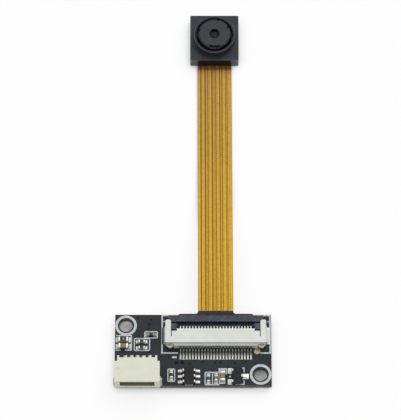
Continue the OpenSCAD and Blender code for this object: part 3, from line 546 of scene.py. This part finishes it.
# ---------------------------------------------------------------- flex socket housing
# Injection-moulded heat-proof nylon, ivory, with a comb of slots for the
# contacts and two arms that hold the latch. It is soldered down by its anchors.
ivory = finish(
    "ivory_nylon", (0.66, 0.68, 0.63), rough=0.5, shine=0.4, mottle=0.035, mottle_mm=1.6,
    swing=0.06, grain=0.3, grain_mm=0.1, depth_mm=0.006,
)
socket_low, socket_high = (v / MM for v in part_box("flex_socket_housing"))
# The two half-round lugs beside the tails are a little darker and yellower: painted shade on the
# low lugs.
for lug_x in (socket_low.x + 0.74, socket_high.x - 0.74):
    within(
        ivory, (lug_x - 0.5, socket_low.y, socket_low.z + 0.4),
        (lug_x + 0.5, socket_low.y + 0.8, socket_low.z + 1.2), (0.93, 0.89, 0.78), soft=0.08,
    )
coat("flex_socket_housing", ivory)


# ---------------------------------------------------------------- flex socket contacts
# Tinned phosphor-bronze contacts, stamped and pushed in from the back. Each
# tail ends in a flat foot under a small heap of solder.
contact_tin = finish(
    "contact_tin", (0.46, 0.46, 0.44), rough=0.36, metal=1.0, mottle=0.12, mottle_mm=0.25,
    swing=0.1, grain=0.25, grain_mm=0.05, depth_mm=0.005,
)
# The tails are darker between their feet and the housing: painted shade under the housing's edge.
socket_tin = contact_tin.copy()
socket_tin.name = "socket_tin"
within(
    socket_tin, (contacts_low.x - 0.2, contacts_low.y + 0.05, 0),
    (contacts_high.x + 0.2, contacts_low.y + 1.4, 3), (0.40, 0.42, 0.40),
)
coat("flex_socket_contacts", socket_tin)
solder = finish(
    "solder", (0.58, 0.585, 0.55), rough=0.30, metal=1.0, mottle=0.10, mottle_mm=0.3,
    swing=0.12, grain=0.4, grain_mm=0.16, depth_mm=0.012,
)


def fillet(mesh, start, end, level, height, half_start, half_end, bend=1.7, tip=0.03, material=0):
    """Heap of solder that climbs from end up to start, round across its width.

    half_start and half_end are half its width there. It is tip high at its end, and a
    larger bend hollows its slope.
    """
    steps, across = 6, 8
    start, end = Vector(start), Vector(end)
    way = (end - start).normalized()
    side = Vector((way.y, -way.x))
    rows = []
    for i in range(steps + 1):
        t = i / steps
        middle = start.lerp(end, t)
        half = half_start + (half_end - half_start) * t
        high = tip + (height - tip) * (1 - t) ** bend
        row = []
        for j in range(across + 1):
            s = -math.cos(math.pi * j / across)
            at = middle + side * half * s
            row.append(mesh.verts.new((at.x, at.y, level + high * math.sqrt(max(0, 1 - s**4)))))
        rows.append(row)
    faces = [mesh.faces.new(rows[0]), mesh.faces.new(rows[-1][::-1])]
    faces.append(mesh.faces.new([r[0] for r in rows][::-1] + [r[-1] for r in rows]))
    for a, b in zip(rows, rows[1:]):
        for j in range(across):
            faces.append(mesh.faces.new((a[j], b[j], b[j + 1], a[j + 1])))
    for face in faces:
        face.material_index = material


# Solder starts just inside the lands.
solder_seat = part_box("top_solder_lands")[1].z / MM - 0.005
contact_count, contact_width = 24, 0.2
contact_pitch = (contacts_high.x - contacts_low.x - contact_width) / (contact_count - 1)


def contact_solder():
    """A heap on each contact's foot, cream-coloured on most and whiter on a few."""
    random.seed(11)
    cream_solder = finish(
        "cream_solder", (0.60, 0.57, 0.49), rough=0.34, metal=0.8, mottle=0.16, mottle_mm=1.3,
        swing=0.1, grain=0.4, grain_mm=0.16, depth_mm=0.01,
    )
    whiter = (0, 1, 4, 5, 10, 17)
    mesh = bmesh.new()
    for i in range(contact_count):
        x = contacts_low.x + contact_width / 2 + i * contact_pitch
        y = contacts_low.y
        high = random.uniform(0.15, 0.18)
        reach = random.uniform(0.39, 0.44)
        fillet(
            mesh, (x, y + 0.12), (x, y - reach), solder_seat, height=high, half_start=0.135,
            half_end=0.148, bend=0.8, material=1 if i in whiter else 0,
        )
    piece("contact_solder", mesh, [cream_solder, solder])


contact_solder()


# ---------------------------------------------------------------- flex socket anchors
# A stamped clip on each side of the housing, matt tin over brass, soldered to
# the board along its whole foot with a smooth pale fillet, whose pale colour also paints
# its highlight.
matt_tin = finish(
    "matt_tin", (0.50, 0.51, 0.47), rough=0.5, metal=0.35, shine=0.4, mottle=0.05,
    mottle_mm=0.5, swing=0.06, grain=0.15, grain_mm=0.2, depth_mm=0.006,
)
# Paler than the other solder: partly its own colour and partly a painted highlight.
pale_solder_highlight = finish(
    "pale_solder_highlight", (0.74, 0.75, 0.69), rough=0.36, metal=0.1, shine=0.6, mottle=0.04,
    mottle_mm=0.6, swing=0.08, grain=0.12, grain_mm=0.3, depth_mm=0.006,
)
within(
    matt_tin, (anchors_low.x - 0.1, anchors_low.y - 0.1, anchors_low.z - 0.1),
    (anchors_low.x + 0.2, anchors_high.y + 0.1, anchors_high.z), (0.2, 0.22, 0.24), shine=0.2,
)
coat("flex_socket_anchors", matt_tin)


def anchor_solder():
    """A smooth fillet outside each anchor's plate, wide on the right and narrow on the left."""
    mesh = bmesh.new()
    middle = (anchors_low.y + anchors_high.y) / 2
    for x, reach in ((anchors_high.x - 0.3, 0.42), (anchors_low.x + 0.34, -0.14)):
        fillet(
            mesh, (x, middle), (x + reach, middle), solder_seat, height=0.55, half_start=1.28,
            half_end=1.36, bend=1.2,
        )
    piece("anchor_solder", mesh, [pale_solder_highlight])


anchor_solder()


# ---------------------------------------------------------------- flex socket latch
# Black nylon latch on two pins in the housing's arms. Its ribs hook under the
# contacts' upper arms, and the grip bar flips up to free the flex.
latch_black = finish(
    "latch_black", (0.033, 0.041, 0.059), rough=0.5, shine=0.38, mottle=0.42, mottle_mm=0.8,
    swing=0.1, grain=0.5, grain_mm=0.14, depth_mm=0.012,
)
latch_low, latch_high = (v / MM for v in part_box("flex_socket_latch"))
grip_front, cheek_w, past = latch_high.y - 1.16, 1.43, 1
# Painted shade, dark and dull, between the cheeks in front of the grip bar, where the recess is
# deep.
within(
    latch_black, (latch_low.x + cheek_w + 0.02, latch_low.y - past, latch_low.z - past),
    (latch_high.x - cheek_w - 0.02, grip_front, latch_high.z + past), (0.32, 0.34, 0.42),
    shine=0.2,
)
# The cheeks are paler and a little violet: painted light on the raised cheeks.
for side_x in (latch_low.x, latch_high.x):
    within(
        latch_black, (side_x - cheek_w, latch_low.y - past, latch_low.z - past),
        (side_x + cheek_w, grip_front - 0.15, latch_high.z + past), (1.6, 1.45, 1.85),
    )
coat("flex_socket_latch", latch_black)


# ---------------------------------------------------------------- wire socket
# Cream nylon box with a wide mouth at the front. Five tinned pins come out of
# its back wall and down to the board, and a clip at each side anchors it.
cream = finish(
    "cream_nylon", (0.67, 0.68, 0.56), rough=0.5, shine=0.4, mottle=0.03, mottle_mm=1.8,
    swing=0.06, grain=0.3, grain_mm=0.1, depth_mm=0.006,
)
wire_box_low, wire_box_high = (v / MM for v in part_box("wire_socket_housing"))
# Inside its mouth the nylon is brown and dim: painted shade, with the yellow of light bounced
# round the deep mouth.
within(
    cream, (wire_box_low.x + 0.75, wire_box_low.y + 0.04, wire_box_low.z + 0.7),
    (wire_box_high.x - 0.8, wire_box_low.y + 5, wire_box_high.z - 0.25), (0.40, 0.33, 0.19),
)
coat("wire_socket_housing", cream)
coat("wire_socket_contacts", contact_tin)
coat("wire_socket_anchors", matt_tin)
wires_low, wires_high = (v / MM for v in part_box("wire_socket_contacts"))
wire_count, wire_pin_width = 5, 0.3
wire_pitch = (wires_high.x - wires_low.x - wire_pin_width) / (wire_count - 1)


def wire_solder():
    """A heap on each pin's foot, and a small one beside the right anchor."""
    random.seed(5)
    mesh = bmesh.new()
    for i in range(wire_count):
        x = wires_low.x + wire_pin_width / 2 + i * wire_pitch
        y = wires_high.y
        reach = random.uniform(0.30, 0.36)
        high = random.uniform(0.34, 0.4)
        fillet(
            mesh, (x, y - 0.72), (x, y + reach), solder_seat, height=high, half_start=0.22,
            half_end=0.3, bend=0.8,
        )
    side_low, side_high = (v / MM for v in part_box("wire_socket_anchors"))
    middle = (side_low.y + side_high.y) / 2
    start, end = (side_high.x - 0.16, middle), (side_high.x + 0.04, middle)
    fillet(mesh, start, end, solder_seat, height=0.5, half_start=0.5, half_end=0.55)
    piece("wire_solder", mesh, [solder])


wire_solder()


# ---------------------------------------------------------------- leaded packages
# A six-lead chip and a three-lead transistor, moulded in matt black epoxy, with
# tinned gull-wing leads that stand in solder.
epoxy = finish(
    "black_epoxy", (0.012, 0.013, 0.015), rough=0.62, shine=0.25, mottle=0.2, mottle_mm=0.3,
    swing=0.08, grain=0.6, grain_mm=0.06, depth_mm=0.008,
)
for body_name in ("regulator_body", "transistor_body"):
    coat(body_name, epoxy)
for leads_name in ("regulator_leads", "transistor_leads"):
    coat(leads_name, contact_tin)
# A brighter copy of the solder: a painted highlight on the heap that faces the light.
solder_highlight = finish(
    "solder_highlight", (0.70, 0.70, 0.66), rough=0.34, metal=1.0, mottle=0.10, mottle_mm=0.4,
    swing=0.1, grain=0.25, grain_mm=0.2, depth_mm=0.01,
)
lead_pitch = 0.95


def lead_solder(name, body_name, rows):
    """A heap under each lead of a package.

    rows lists the side (-1 or 1), the row from the middle, the reach from the body, the
    width at the outer end, and 1 for the brighter solder, a painted highlight.
    """
    body_low, body_high = (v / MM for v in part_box(body_name))
    middle = (body_low + body_high) / 2
    half = (body_high.x - body_low.x) / 2
    mesh = bmesh.new()
    for side, row, reach, wide, highlit in rows:
        y = middle.y + row * lead_pitch
        start, end = ((middle.x + side * (half + r), y) for r in (0.28, reach - 0.02))
        fillet(
            mesh, start, end, solder_seat, height=0.18, half_start=0.2, half_end=wide / 2,
            bend=0.9, tip=0.08, material=highlit,
        )
    piece(name, mesh, [solder, solder_highlight])


lead_solder(
    "regulator_solder", "regulator_body",
    [(side, row, 1.0, 0.48, 0) for side in (-1, 1) for row in (-1, 0, 1)],
)
lead_solder(
    "transistor_solder", "transistor_body",
    [(-1, -1, 0.9, 0.84, 0), (-1, 1, 0.9, 0.84, 0), (1, 0, 1.2, 0.86, 1)],
)


# ---------------------------------------------------------------- chip resistors and capacitors
# White alumina with a black glass coat for the resistors, and tan ceramic for
# the capacitors, each with plated ends that solder wets up to their tops.
def soft_box(mesh, low, high, round_mm, material=0):
    """Box between two corners with rounded edges."""
    size = [h - l for l, h in zip(low, high)]
    centre = [(l + h) / 2 for l, h in zip(low, high)]
    made = bmesh.ops.create_cube(mesh, size=1)
    for vertex in made["verts"]:
        vertex.co = Vector([c + v * s for c, v, s in zip(centre, vertex.co, size)])
    edges = list({e for v in made["verts"] for e in v.link_edges})
    before = set(mesh.faces)
    touched = {f for v in made["verts"] for f in v.link_faces}
    result = bmesh.ops.bevel(
        mesh, geom=edges, offset=round_mm, segments=2, profile=0.5, affect="EDGES"
    )
    fresh = set(mesh.faces) - before
    for face in fresh | {f for f in touched if f.is_valid} | set(result["faces"]):
        face.material_index = material


alumina = finish(
    "alumina", (0.62, 0.62, 0.58), rough=0.6, shine=0.3, mottle=0.06, mottle_mm=0.2,
    grain_mm=0.04,
)
glass_coat = finish(
    "black_glass_coat", (0.010, 0.010, 0.011), rough=0.3, shine=0.5, mottle=0.2, mottle_mm=0.3,
    grain=0.3, grain_mm=0.1, depth_mm=0.006,
)
tan_ceramic = finish(
    "tan_ceramic", (0.21, 0.175, 0.095), rough=0.5, shine=0.4, mottle=0.12, mottle_mm=0.25,
    grain=0.35, grain_mm=0.05, depth_mm=0.006,
)
pink_ceramic = finish(
    "pinkish_ceramic", (0.245, 0.18, 0.135), rough=0.5, shine=0.4, mottle=0.12, mottle_mm=0.25,
    grain=0.35, grain_mm=0.05, depth_mm=0.006,
)
white_mark = finish("white_mark", (0.6, 0.6, 0.6), rough=0.6, shine=0.3, grain_mm=0.04)
# A darker, duller copy of the solder for the corner resistor's ends: painted shade.
dull_shaded_solder = finish(
    "dull_shaded_solder", (0.27, 0.29, 0.27), rough=0.42, metal=0.8, mottle=0.25, mottle_mm=0.25,
    swing=0.1, grain=0.5, grain_mm=0.1, depth_mm=0.01,
)


def ring_mark(mesh, radius, low, high, material):
    """The oval ring printed on a zero-ohm link, standing just proud of its top."""
    turns, line, squash = 24, 0.05, 0.75
    for k in range(turns):
        ends = [2 * math.pi * t / turns for t in (k, k + 1)]
        inner, outer = (
            [(math.cos(t) * r * squash, math.sin(t) * r) for t in ends]
            for r in (radius - line, radius)
        )
        flat = [inner[0], outer[0], outer[1], inner[1]]
        low_ring = [mesh.verts.new((x, y, low)) for x, y in flat]
        high_ring = [mesh.verts.new((x, y, high)) for x, y in flat]
        faces = [mesh.faces.new(high_ring), mesh.faces.new(low_ring[::-1])]
        for j in range(4):
            n = (j + 1) % 4
            faces.append(mesh.faces.new((low_ring[j], low_ring[n], high_ring[n], high_ring[j])))
        for face in faces:
            face.material_index = material


def chip_part(name, end_length, body, coat_top, marked=False, ends=solder):
    """One chip part in place of its CAD block, with its two solder fillets."""
    low, high = (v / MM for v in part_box(name))
    size = high - low
    turned = size.y > size.x
    length, width = (size.y, size.x) if turned else (size.x, size.y)
    middle = (low + high) / 2
    half, side_y = length / 2, width / 2
    mesh = bmesh.new()
    skin = 0.02
    core_x, core_y = half - skin, side_y - skin
    soft_box(mesh, (-core_x, -core_y, skin), (core_x, core_y, size.z - skin), round_mm=0.025)
    if coat_top:
        coat_x, coat_y = half - end_length * 0.9, side_y - skin * 1.5
        soft_box(
            mesh, (-coat_x, -coat_y, size.z - skin * 2), (coat_x, coat_y, size.z - skin / 4),
            round_mm=0.01, material=1,
        )
    for side in (-1, 1):
        inner, outer = sorted((side * (half - end_length), side * half))
        soft_box(mesh, (inner, -side_y, 0), (outer, side_y, size.z), round_mm=0.05, material=2)
        fillet(
            mesh, (side * (half - 0.04), 0), (side * (half + 0.37), 0), -0.005,
            height=size.z * 0.72, half_start=width * 0.46, half_end=side_y + 0.02, material=3,
        )
    if marked:
        ring_mark(mesh, width * 0.2, size.z - skin, size.z + 0.003, material=4)
    for vertex in mesh.verts:
        x, y, z = vertex.co
        if turned:
            x, y = -y, x
        vertex.co = (middle.x + x, middle.y + y, low.z + z)
    made = piece(name + "_part", mesh, [body, glass_coat, ends, ends, white_mark])
    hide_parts(name)


chip_part("zero_ohm_link", 0.3, alumina, True, marked=True)
for resistor in ("rear_resistor", "front_resistor", "sense_resistor", "output_resistor"):
    chip_part(resistor, 0.22, alumina, True)
chip_part("corner_resistor", 0.22, glass_coat, True, ends=dull_shaded_solder)
chip_part("input_capacitor", 0.35, tan_ceramic, False)
chip_part("output_capacitor", 0.35, tan_ceramic, False)
chip_part("filter_capacitor", 0.25, pink_ceramic, False)


# ---------------------------------------------------------------- parts under the board
# The controller and memory chips, a crystal in its metal can, and six small
# capacitors, soldered to the board's underside.
coat("controller_chip", epoxy)
coat("memory_chip", epoxy)
coat(
    "crystal",
    finish(
        "nickel_can", (0.66, 0.64, 0.60), rough=0.3, metal=1.0, mottle=0.08, mottle_mm=0.8,
        swing=0.08, grain=0.2, grain_mm=0.05, depth_mm=0.004,
    ),
)
coat("underside_capacitors", tan_ceramic)


# ---------------------------------------------------------------- flex circuit
# Polyimide film, amber, over two layers of etched copper. The tracks show as
# fine ridges that run the whole length, and stitching vias as rows of dots.
amber_film = finish(
    "amber_film", (0.20, 0.098, 0.010), rough=0.42, shine=0.2, mottle=0.16, mottle_mm=0.5,
    swing=0.08, grain=0.25, grain_mm=0.2, depth_mm=0.006,
)
amber_track = finish(
    "amber_track", (0.61, 0.365, 0.014), rough=0.36, shine=0.2, mottle=0.09, mottle_mm=0.6,
    swing=0.08, grain=0.3, grain_mm=0.15, depth_mm=0.008,
)
amber_deep = finish(
    "amber_deep", (0.49, 0.28, 0.014), rough=0.40, shine=0.2, mottle=0.12, mottle_mm=0.6,
    swing=0.08, grain=0.3, grain_mm=0.15, depth_mm=0.008,
)
amber_dark = finish(
    "amber_via", (0.22, 0.11, 0.010), rough=0.4, shine=0.2, mottle=0.12, mottle_mm=0.5,
    grain_mm=0.05,
)
stiffener_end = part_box("flex_end_stiffener")[1].y / MM
head_low, head_high = (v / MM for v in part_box("lens_housing"))


def brown_and_shaded(material):
    """The film is painted a deeper brown along its length, partly painted light, and darker close
    to the head, where painted shade from the head joins a smear of glue.
    """
    nodes, links = material.node_tree.nodes, material.node_tree.links
    place = nodes.new("ShaderNodeTexCoord")
    split = nodes.new("ShaderNodeSeparateXYZ")
    along = nodes.new("ShaderNodeMapRange")
    along.inputs["From Min"].default_value = stiffener_end * MM
    along.inputs["From Max"].default_value = head_low.y * MM
    tones = nodes.new("ShaderNodeValToRGB")
    stops = tones.color_ramp.elements
    stops[0].position, stops[0].color = 0.1, (1, 1, 1, 1)
    stops[1].position, stops[1].color = 1.0, (0.30, 0.19, 1.0, 1)
    for spot, tone in (
        (0.55, (0.96, 0.92, 1.3, 1)),
        (0.955, (0.86, 0.79, 2.2, 1)),
        (0.976, (0.70, 0.62, 2.4, 1)),
        (0.981, (0.36, 0.24, 1.2, 1)),
    ):
        stops.new(spot).color = tone
    links.new(place.outputs["Object"], split.inputs[0])
    links.new(split.outputs["Y"], along.inputs["Value"])
    links.new(along.outputs["Result"], tones.inputs[0])
    repaint(material, None, tones.outputs[0], "MULTIPLY")


for film in (amber_film, amber_track, amber_deep, amber_dark):
    brown_and_shaded(film)
coat("flex_circuit", amber_film)


def strip_outline():
    """Rows of y, left x, right x and upper z along the strip, from the film's own solid."""
    rows = {}
    for vertex in cad["flex_circuit"].data.vertices:
        p = vertex.co / MM
        if stiffener_end - 0.8 < p.y < head_low.y + 1:
            rows.setdefault(round(p.y, 1), []).append(p)
    line = []
    for row in rows.values():
        left, right = min(p.x for p in row), max(p.x for p in row)
        # A whole section of the strip has four corners and the strip's own width.
        if len(row) >= 4 and 5.6 < right - left < 6.1:
            line.append((sum(p.y for p in row) / len(row), left, right, max(p.z for p in row)))
    return sorted(line)


strip_line = strip_outline()


def strip_at(y):
    """Left x, right x and upper z of the film at y."""
    for a, b in zip(strip_line, strip_line[1:]):
        if y <= b[0] or b is strip_line[-1]:
            t = (y - a[0]) / (b[0] - a[0])
            return [p + (q - p) * t for p, q in zip(a[1:], b[1:])]


def flex_tracks():
    """Tracks as (left edge, right edge, 1 if on the lower layer), and rows of stitching vias."""
    start, stop = stiffener_end - 0.02, head_low.y + 0.1
    rise, sunk = 0.012, 0.002
    ys = [start] + [row[0] for row in strip_line if start < row[0] < stop] + [stop]
    tracks = [
        (0.05, 0.47, 0), (0.67, 1.18, 0), (1.37, 1.72, 1), (1.83, 2.36, 0), (2.54, 3.06, 1),
        (3.18, 3.70, 0), (3.87, 4.07, 0), (4.20, 4.74, 0), (4.82, 5.02, 1), (5.09, 5.74, 0),
    ]
    mesh = bmesh.new()
    for near, far, deep in tracks:
        line = [(strip_at(y)[0] + (near + far) / 2, y) for y in ys]
        ribbon(mesh, line, far - near, lambda x, y: strip_at(y)[2] - sunk, rise, material=deep)
    piece("flex_tracks", mesh, [amber_track, amber_deep], smooth=False)

    mesh = bmesh.new()
    pitch = 0.45
    dome = [(0.08, 0), (0.07, 0.016), (0.02, 0.016)]
    for across, phase in ((0.90, 0.0), (1.98, 0.2), (3.40, 0.1), (4.30, 0.3), (5.34, 0.15)):
        y = start + 0.6 + phase
        while y < stop - 0.3:
            left, _, z = strip_at(y)
            disc(mesh, (left + across, y, z - 0.003), dome, sides=8)
            y += pitch
    piece("flex_vias", mesh, [amber_dark], smooth=False)


flex_tracks()
black_film = finish(
    "black_film", (0.020, 0.017, 0.020), rough=0.45, shine=0.22, mottle=0.35, mottle_mm=0.5,
    swing=0.1, grain=0.4, grain_mm=0.12, depth_mm=0.008,
)
coat("flex_end_stiffener", black_film)


# ---------------------------------------------------------------- lens head
# Glass-filled black nylon housing on the end of the flex, with a screwed-in
# lens barrel. The barrel's notches take the focusing tool.
head_black = finish(
    "head_black", (0.011, 0.016, 0.026), rough=0.5, shine=0.38, mottle=0.18, mottle_mm=0.9,
    swing=0.08, grain=0.45, grain_mm=0.09, depth_mm=0.008,
)
# The collar's top is a little darker than the face, the outer walls are painted
# lighter as painted light, and the collar's own wall is painted dark as painted shade.
within(
    head_black, (head_low.x - 1, head_low.y - 1, head_high.z - 0.1),
    (head_high.x + 1, head_high.y + 1, head_high.z + 0.1), (0.8, 0.85, 0.9), shine=0.28,
)
face_level = head_high.z - 1.2
sloped(head_black, limit=0.5, colour=(0.088, 0.098, 0.112))
within(
    head_black, (head_low.x - 1, head_low.y + 0.3, face_level),
    (head_high.x + 1, head_high.y - 0.3, head_high.z), (0.22, 0.22, 0.24), shine=0.15,
)
coat("lens_housing", head_black)
barrel_black = finish(
    "barrel_black", (0.010, 0.0145, 0.021), rough=0.5, shine=0.42, mottle=0.12, mottle_mm=0.9,
    swing=0.08, grain=0.4, grain_mm=0.07, depth_mm=0.008,
)
barrel_low, barrel_high = (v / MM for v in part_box("lens_barrel"))
# Below its front face the barrel is darker: painted shade on its bevel and in its notches.
within(
    barrel_black, (barrel_low.x - 1, barrel_low.y - 1, barrel_low.z - 1),
    (barrel_high.x + 1, barrel_high.y + 1, barrel_high.z - 0.04), (0.7, 0.7, 0.8), shine=0.22,
)
coat("lens_barrel", barrel_black)
lens_axis = (barrel_low + barrel_high) / 2
# Paler finish for rounded edges: a painted highlight.
highlight_rim = finish(
    "highlight_rim", (0.042, 0.047, 0.057), rough=0.38, shine=0.5, mottle=0.3, mottle_mm=0.8,
    swing=0.1, grain=0.3, grain_mm=0.08, depth_mm=0.006,
)


def collar_rim():
    """Rounded lip on the collar's top edge, in a paler finish that paints its highlight."""
    collar_r, collar_top, sides = 3.53, head_high.z, 96
    section = [
        (-0.005, -0.05), (-0.015, 0.0), (-0.04, 0.02), (-0.075, 0.024), (-0.11, 0.012),
        (-0.12, -0.05),
    ]
    turns = [2 * math.pi * k / sides for k in range(sides)]
    mesh = bmesh.new()
    loops = []
    for inward, up in section:
        r = collar_r + inward
        loops.append([
            mesh.verts.new(
                (lens_axis.x + r * math.cos(a), lens_axis.y + r * math.sin(a), collar_top + up)
            )
            for a in turns
        ])
    for a, b in zip(loops, loops[1:] + loops[:1]):
        for k in range(sides):
            mesh.faces.new((a[k], a[(k + 1) % sides], b[(k + 1) % sides], b[k]))
    piece("collar_rim", mesh, [highlight_rim])


def housing_edges():
    """Rounded edges along the top of the housing's square block, in the paler finish of a painted
    highlight.
    """
    edge = 0.07
    bead = edge + 0.012
    level = face_level - 0.1 - edge
    corners = [
        (head_low.x + edge, head_low.y + edge), (head_high.x - edge, head_low.y + edge),
        (head_high.x - edge, head_high.y - edge), (head_low.x + edge, head_high.y - edge),
    ]
    arc = [(bead * math.cos(math.pi * k / 8), bead * math.sin(math.pi * k / 8)) for k in range(9)]
    mesh = bmesh.new()
    for start, end in zip(corners, corners[1:] + corners[:1]):
        along = (Vector(end) - Vector(start)).normalized()
        side = Vector((along.y, -along.x))
        near, far = (
            [mesh.verts.new((x + side.x * out, y + side.y * out, level + up)) for out, up in arc]
            for x, y in (start, end)
        )
        mesh.faces.new(near)
        mesh.faces.new(far[::-1])
        for k in range(9):
            n = (k + 1) % 9
            mesh.faces.new((near[k], far[k], far[n], near[n]))
    piece("housing_edges", mesh, [highlight_rim])


collar_rim()
housing_edges()


# ---------------------------------------------------------------- optics and sensor
# Two coated lenses in the barrel, a tinted infrared filter, and the silicon
# image sensor on its steel base plate.
lens_glass = finish(
    "coated_lens", (0.005, 0.011, 0.011), rough=0.08, shine=0.1, mottle=0.2, mottle_mm=0.8,
    swing=0.02, grain=0,
)
coat("front_lens", lens_glass)
coat("rear_lens", lens_glass)
coat(
    "infrared_filter",
    finish(
        "infrared_filter", (0.12, 0.28, 0.27), rough=0.08, shine=0.5, mottle=0.05, swing=0.02,
        grain=0,
    ),
)
coat(
    "image_sensor",
    finish(
        "silicon", (0.09, 0.10, 0.13), rough=0.25, metal=0.6, mottle=0.3, mottle_mm=0.2,
        grain=0.1,
    ),
)
coat(
    "sensor_base_plate",
    finish(
        "base_plate", (0.30, 0.30, 0.29), rough=0.4, metal=0.8, mottle=0.1, mottle_mm=0.8,
        swing=0.1, grain=0.3, grain_mm=0.06, depth_mm=0.006,
    ),
)


# ---------------------------------------------------------------- adhesive
# Black glue run into the recess where the flex enters the head, left glossy and
# a little lumpy.
glue = finish(
    "black_glue", (0.012, 0.011, 0.010), rough=0.5, shine=0.25, mottle=0.3, mottle_mm=0.4,
    swing=0.1, grain=0.8, grain_mm=0.35, depth_mm=0.04,
)
coat("adhesive_bead", glue)
